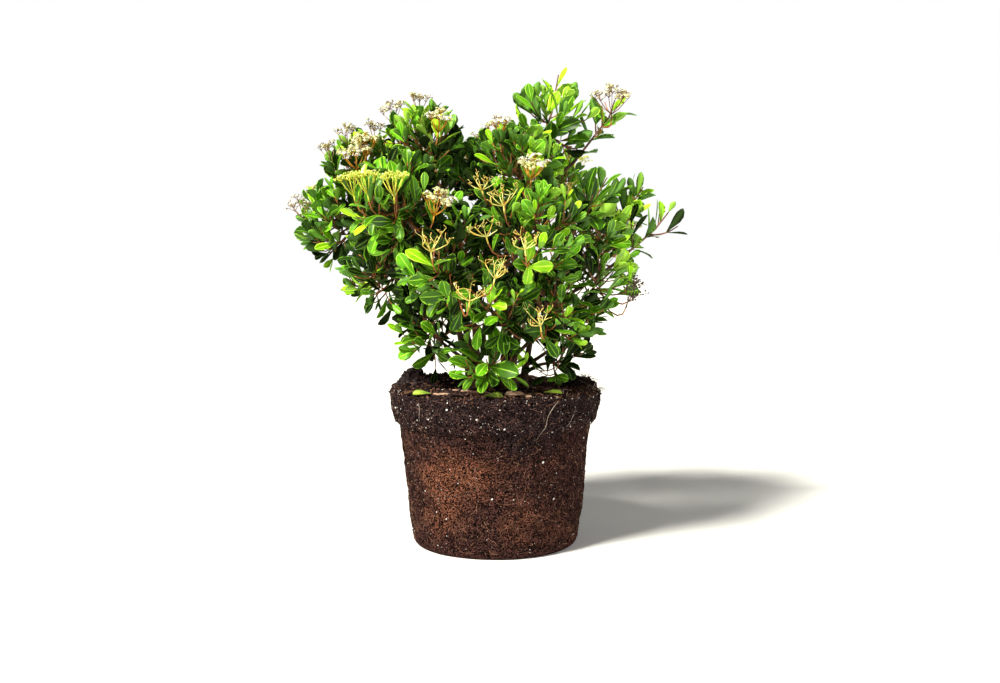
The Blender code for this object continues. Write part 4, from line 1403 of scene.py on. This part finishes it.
def lay_roots(ball):
    """Hair roots: a few long pale ones on the side, and ragged curls along the right of the rim."""
    rng = random.Random("roots")
    roots = Sheaf()
    for route in HAIR_ROOTS:
        points = []
        for bearing, height in route:
            points.append(ball.spot(ball.side_row(height), column_at(bearing), HAIR_LIFT))
        path, radii = smooth_path(points, taper(*HAIR_TAPER, len(points)), HAIR_STEP)
        roots.add(*tube(path, radii, HAIR_SIDES))
    for _ in range(RIM_CURLS):
        column = column_at(rng.gauss(*CURL_BEARINGS))
        row = ball.edge + rng.uniform(*CURL_ROWS)
        start = ball.spot(row, column)
        out = (ball.normal(row, column) + UP * CURL_RISE).normalized()
        side = side_of(out, rng.uniform(0, math.tau))
        length = rng.uniform(*CURL_LENGTHS)
        bow = start + (out * 0.5 + side * 0.5) * length
        end = start + (out * rng.uniform(0.0, 0.5) + side) * length
        path = bend(start - out * CURL_SUNK, bow, end, CURL_POINTS)
        roots.add(*tube(path, taper(*CURL_TAPER, CURL_POINTS), FIBRE_SIDES), rng.choice(CURL_TONES))
    return roots


def lay_crumbs(ball):
    """Loose crumbs of soil on the ball, and clods on its highest mound."""
    rng = random.Random("crumbs")
    crumbs = Sheaf()
    bead, faces = ROUND_BEAD
    for _, where in zip(range(CRUMBS), cycle(CRUMB_PLACES)):
        row, column = random_spot(ball, rng, where)
        size = rng.uniform(*CRUMB_SIZES) * (SIDE_CRUMB if where == "side" else 1.0)
        turn = Matrix.Rotation(rng.uniform(0, math.tau), 3, any_way(rng))
        crumb = ragged(bead, CRUMB_SWAY, rng) * CRUMB_SHAPE
        at = ball.spot(row, column, size * CRUMB_LIFT)
        tone = 0 if is_heaped(at) else rng.randrange(SOIL_TONES)
        crumbs.add(place(crumb, size, turn, at), faces, tone)
    bearing, reach = MOUNDS[0][:2]
    for _ in range(CLODS):
        row = top_row(ball, reach + rng.gauss(0, CLOD_SWAY[1]))
        column = column_at(bearing + rng.gauss(0, CLOD_SWAY[0]))
        clod = ragged(bead, CRUMB_SWAY, rng)
        size = rng.uniform(*CLOD_SIZES)
        turn = Matrix.Rotation(rng.uniform(0, math.tau), 3, "Z")
        crumbs.add(place(clod, size, turn, ball.spot(row, column)), faces)
    return crumbs


def lay_specks(ball):
    """White grains of perlite, thickest in the dark upper band."""
    rng = random.Random("specks")
    specks = Sheaf()
    bead, faces = ROUND_BEAD
    for _, where in zip(range(SPECKS), cycle(SPECK_PLACES)):
        row, column = random_spot(ball, rng, where)
        if where == "band":
            row = rng.uniform(ball.edge, ball.side_row(BAND_FOOT))
        size = min(SPECK_LARGEST, SPECK_SMALLEST * math.exp(rng.expovariate(SPECK_RARITY)))
        turn = frame_of(ball.normal(row, column))
        speck = ragged(bead, SPECK_SWAY, rng) * (1.0, rng.uniform(*SPECK_WIDTHS), SPECK_HEIGHT)
        specks.add(place(speck, size, turn, ball.spot(row, column, SPECK_LIFT)), faces)
    return specks


def lay_dust(ball):
    """The smallest grains and ends of fibres, which speckle the whole skin."""
    rng = random.Random("dust")
    dust = Sheaf()
    bead, faces = PLAIN_BEAD
    for index, where in zip(range(DUST), cycle(DUST_PLACES)):
        row, column = random_spot(ball, rng, where)
        turn = frame_along(any_way(rng), ball.normal(row, column))
        drawn_out = bead * (rng.uniform(*DUST_LENGTHS), 1.0, DUST_HEIGHT)
        at = ball.spot(row, column)
        tone = SOIL_TONES - 1 if is_heaped(at) else index % SOIL_TONES
        dust.add(place(drawn_out, rng.uniform(*DUST_SIZES), turn, at), faces, tone)
    return dust


def lay_litter(ball, plant):
    """Chips of bark and a few fallen leaves on the soil."""
    rng = random.Random("litter")
    litter = Sheaf()
    bead, faces = ROUND_BEAD
    for _, where in zip(range(CHIPS), cycle(CHIP_PLACES)):
        row, column = random_spot(ball, rng, "top")
        if where == "front":
            column = column_at(rng.gauss(*FRONT_CHIPS))
            row = ball.edge - rng.uniform(*FRONT_CHIP_ROWS)
        normal = (ball.normal(row, column) + way_of(rng.uniform(0, 360), 0) * CHIP_LEAN).normalized()
        turn = frame_along(way_of(rng.uniform(0, 360), 0), normal)
        chip = bead * (1.0, rng.uniform(*CHIP_WIDTHS), rng.uniform(*CHIP_HEIGHTS))
        size = rng.uniform(*CHIP_SIZES)
        at = ball.spot(row, column, CHIP_LIFT)
        tone = rng.choice(CHIP_TONES)
        litter.add(place(chip, size, turn, at), faces, DARK_CHIP if is_heaped(at) else tone)
    blade, faces, _ = plant.templates[FALLEN_FORM]
    for bearing, reach, heading, tone in FALLEN_LEAVES:
        row, column = top_row(ball, reach), column_at(bearing)
        facing = ball.normal(row, column) + way_of(bearing, 0) * FALLEN_LEAN
        turn = frame_along(way_of(heading, FALLEN_RISE), facing)
        litter.add(place(blade, FALLEN_LENGTH, turn, ball.spot(row, column, FALLEN_LIFT)), faces, tone)
    return litter


# Finishes


def surface(name, roughness, specular):
    """A new material and its shader."""
    material = bpy.data.materials.new(name)
    material.use_nodes = True
    shader = material.node_tree.nodes["Principled BSDF"]
    shader.inputs["Roughness"].default_value = roughness
    shader.inputs["Specular IOR Level"].default_value = specular
    return material, shader


def node(material, kind, links=(), **values):
    """A node of this kind with these inputs set, and these inputs linked from other sockets."""
    made = material.node_tree.nodes.new("ShaderNode" + kind)
    for name, value in values.items():
        made.inputs[name.replace("_", " ")].default_value = value
    for name, socket in links:
        material.node_tree.links.new(socket, made.inputs[name])
    return made


def wandering(material, stretch, scale, detail=4.0):
    """A noise that stays with the object, drawn out along some axes."""
    coordinates = node(material, "TexCoord").outputs["Object"]
    mapping = node(material, "Mapping", [("Vector", coordinates)], Scale=stretch)
    links = [("Vector", mapping.outputs["Vector"])]
    return node(material, "TexNoise", links, Scale=scale, Detail=detail).outputs["Fac"]


def ramp(material, factor, low, high, dark, light):
    """Colours from dark to light, as the factor goes from low to high."""
    made = node(material, "ValToRGB", [("Fac", factor)])
    first, last = made.color_ramp.elements
    first.position, first.color = low, (*dark, 1.0)
    last.position, last.color = high, (*light, 1.0)
    return made.outputs["Color"]


def wear(material, shader, colour, height, relief):
    """Gives the shader this colour, and a relief of this height and strength."""
    bump = node(material, "Bump", [("Height", height)], Strength=relief, Distance=BUMP_DISTANCE)
    material.node_tree.links.new(colour, shader.inputs["Base Color"])
    material.node_tree.links.new(bump.outputs["Normal"], shader.inputs["Normal"])


def finish(name, dark, light, roughness, scale, relief, grain, specular=0.5, stretch=(1, 1, 1)):
    """A surface whose colour wanders between two, over a fine relief."""
    material, shader = surface(name, roughness, specular)
    colour = ramp(material, wandering(material, stretch, scale), *COLOUR_SPAN, dark, light)
    wear(material, shader, colour, wandering(material, stretch, grain), relief)
    return material


@lru_cache(maxsize=None)
def stocked(name):
    """The one material of this name, made when it is first asked for."""
    return finish(name, *FINISHES[name])


def shaded(colour, share):
    """A colour that is this many times as bright."""
    return [channel * share for channel in colour]


def leaf_finishes(family):
    """The upper face of a family's leaves, their pale rib and margin, and their dull underside."""
    name, gloss = "leaf_" + family.name, family.gloss
    blade = [shaded(family.blade, share) for share in BLADE_SHADES]
    pale = [shaded(family.pale, share) for share in RIB_SHADES]
    under = [shaded(family.under, share) for share in UNDER_SHADES]
    return (
        finish(name, *blade, *BLADE_FINISH, gloss),
        finish(name + "_rib", *pale, *RIB_FINISH, gloss),
        finish(name + "_under", *under, *UNDER_FINISH, gloss / 2),
    )


def nearness(material, spot, reach):
    """1 at this spot on the object, down to 0 this far from it."""
    apart = node(material, "VectorMath", [(0, node(material, "TexCoord").outputs["Object"])])
    apart.operation = "DISTANCE"
    apart.inputs[1].default_value = spot
    links = [("Value", apart.outputs["Value"])]
    return node(material, "MapRange", links, From_Min=reach, From_Max=0.0).outputs["Result"]


def multiply_add(material, value, factor, added):
    """The value times a constant factor, with another value added."""
    made = node(material, "Math")
    made.operation = "MULTIPLY_ADD"
    made.inputs[1].default_value = factor
    material.node_tree.links.new(value, made.inputs[0])
    material.node_tree.links.new(added, made.inputs[2])
    return made.outputs["Value"]


def soil_finish():
    """Fibrous brown, orange in patches, and dark and purplish above a ragged border. The orange is
    strongest at the front left, where it is partly painted light.
    """
    material, shader = surface("soil", SOIL_ROUGHNESS, SOIL_GLOSS)
    # A lighter orange spot at the front left: an orange patch, partly painted light where the key light
    # falls.
    orange_painted_light = nearness(material, ORANGE_PAINTED_LIGHT_PLACE, ORANGE_PAINTED_LIGHT_REACH)
    warmth_and_painted_light = multiply_add(material, orange_painted_light, ORANGE_PAINTED_LIGHT_STRENGTH, wandering(material, PATCH_STRETCH, PATCH_SCALE))
    body = ramp(material, warmth_and_painted_light, *PATCH_SPAN, SOIL_REDDISH, SOIL_ORANGE)
    grains = wandering(material, (1, 1, 1), GRAIN_SCALE, GRAIN_DETAIL)
    speckled = ramp(material, grains, *GRAIN_SPAN, GRAIN_DARK, GRAIN_LIGHT)
    coordinates = node(material, "TexCoord").outputs["Object"]
    height = node(material, "SeparateXYZ", [("Vector", coordinates)]).outputs["Z"]
    tatters = wandering(material, (1, 1, 1), TATTERS_SCALE, TATTERS_DETAIL)
    border = multiply_add(material, tatters, BAND_RAGGED, height)
    border = multiply_add(material, nearness(material, SAG_PLACE, SAG_REACH), SAG_DEPTH, border)
    middle = BAND_FOOT + BAND_RAGGED / 2
    links = [("Value", border)]
    band = node(material, "MapRange", links, From_Min=middle - BAND_BLUR, From_Max=middle + BAND_BLUR)
    toned = mix(material, "MIX", band.outputs["Result"], body, SOIL_DARK)
    wear(material, shader, mix(material, "MULTIPLY", 1.0, toned, speckled), grains, SOIL_RELIEF)
    return material


def mix(material, blend, factor, first, second):
    """Two colours blended. Each of the three is a socket or a constant."""
    made = material.node_tree.nodes.new("ShaderNodeMix")
    made.data_type = "RGBA"
    made.blend_type = blend
    for index, value in ((0, factor), (6, first), (7, second)):
        if isinstance(value, bpy.types.NodeSocket):
            material.node_tree.links.new(value, made.inputs[index])
        else:
            made.inputs[index].default_value = value if index == 0 else (*value, 1.0)
    return made.outputs[2]


# The whole


def dress_plant(limbs, carriers):
    """Bark, twigs, cymes and leaves."""
    plant = Plant()
    for limb in limbs:
        plant.add_limb(limb)
    growths = [Growth(plant, mass, carriers[mass]) for mass in MASSES]
    for growth in growths:
        growth.grow_stalk()
        growth.grow_heads()
    for growth in growths:
        growth.grow_twigs()
    for growth in growths:
        growth.grow_side_shoots()
    for growth in growths:
        growth.grow_leaves()
    return plant


def make_plant_pieces(plant, limbs):
    masses = ["leaves_" + mass.name for mass in MASSES]
    piece("stems_and_boughs", plant.limbs, [stocked("bark")], [limb.name for limb in limbs])
    for name, sheaf, finishes in (
        ("twigs", plant.twigs, TWIG_FINISHES),
        ("cyme_stalks", plant.rays, STALK_FINISHES),
        ("blossom", plant.blossom, BLOSSOM_FINISHES),
    ):
        piece(name, sheaf, map(stocked, finishes), masses)
    for family, sheaf in zip(FAMILIES, plant.leaves):
        piece("leaves_" + family.name, sheaf, leaf_finishes(family), masses)


def make_ball_pieces(ball, plant):
    piece("root_ball_skin", ball.sheaf(), [soil_finish()], ["root_ball"])
    for name, sheaf, finishes in (
        ("root_fibres", lay_fibres(ball), ("fibre_tan", "fibre_brown", "fibre_dark", "fibre_rosy")),
        ("hair_roots", lay_roots(ball), ("root_pale", "fibre_brown")),
        ("soil_crumbs", lay_crumbs(ball), ("soil_black", "crumb_brown", "fibre_brown")),
        ("perlite_specks", lay_specks(ball), ("perlite",)),
        ("soil_dust", lay_dust(ball), ("fibre_rosy", "dust_pale", "soil_black")),
        ("litter", lay_litter(ball, plant), ("chip_brown", "chip_pink", "fibre_dark", "fallen_leaf")),
    ):
        piece(name, sheaf, map(stocked, finishes), ["root_ball"])


def make_floor():
    mesh = bpy.data.meshes.new("floor")
    half = FLOOR_WIDTH / 2
    flat = ((-half, -half), (half, -half), (half, half), (-half, half))
    mesh.from_pydata([(x, y, -FLOOR_DROP) for x, y in flat], [], [(0, 1, 2, 3)])
    mesh.materials.append(stocked("floor"))
    floor = bpy.data.objects.new("floor", mesh)
    bpy.context.scene.collection.objects.link(floor)


def aim(obj, spot, target):
    obj.location = spot
    obj.rotation_euler = (target - spot).to_track_quat("-Z", "Y").to_euler()
    bpy.context.scene.collection.objects.link(obj)


def make_light(name, kind, power, colour, spot, target):
    """A light of this kind, aimed at the target."""
    data = bpy.data.lights.new(name, kind)
    data.energy = power
    data.color = colour
    aim(bpy.data.objects.new(name, data), spot, target)
    return data


def make_studio():
    """Soft light from the upper front left, a weaker one from the right, and a pale room."""
    key = make_light("key", "SUN", KEY_STRENGTH, KEY_COLOUR, KEY_PLACE, Vector())
    key.angle = math.radians(KEY_SPREAD)
    fill = make_light("fill", "AREA", FILL_POWER, FILL_COLOUR, FILL_PLACE, CROWN_HEART)
    fill.size = FILL_SIZE
    world = bpy.data.worlds.new("room")
    world.use_nodes = True
    nodes, links = world.node_tree.nodes, world.node_tree.links
    nodes["Background"].inputs["Strength"].default_value = ROOM_LIGHT
    seen = nodes.new("ShaderNodeBackground")
    blend = nodes.new("ShaderNodeMixShader")
    links.new(nodes.new("ShaderNodeLightPath").outputs["Is Camera Ray"], blend.inputs[0])
    links.new(nodes["Background"].outputs[0], blend.inputs[1])
    links.new(seen.outputs[0], blend.inputs[2])
    links.new(blend.outputs[0], nodes["World Output"].inputs["Surface"])
    nodes["Background"].inputs["Color"].default_value = ROOM_COLOUR
    seen.inputs["Color"].default_value = SEEN_COLOUR
    bpy.context.scene.world = world


def make_camera():
    data = bpy.data.cameras.new("camera")
    data.sensor_width = SENSOR_WIDTH
    data.lens = CAMERA_LENS
    camera = bpy.data.objects.new("camera", data)
    aim(camera, CAMERA_PLACE, CAMERA_TARGET)
    bpy.context.scene.camera = camera
    bpy.context.scene.view_settings.view_transform = "Standard"


def main():
    make_camera()
    make_studio()
    make_floor()
    limbs, carriers = grow_limbs()
    plant = dress_plant(limbs, carriers)
    make_plant_pieces(plant, limbs)
    make_ball_pieces(Ball(), plant)


main()
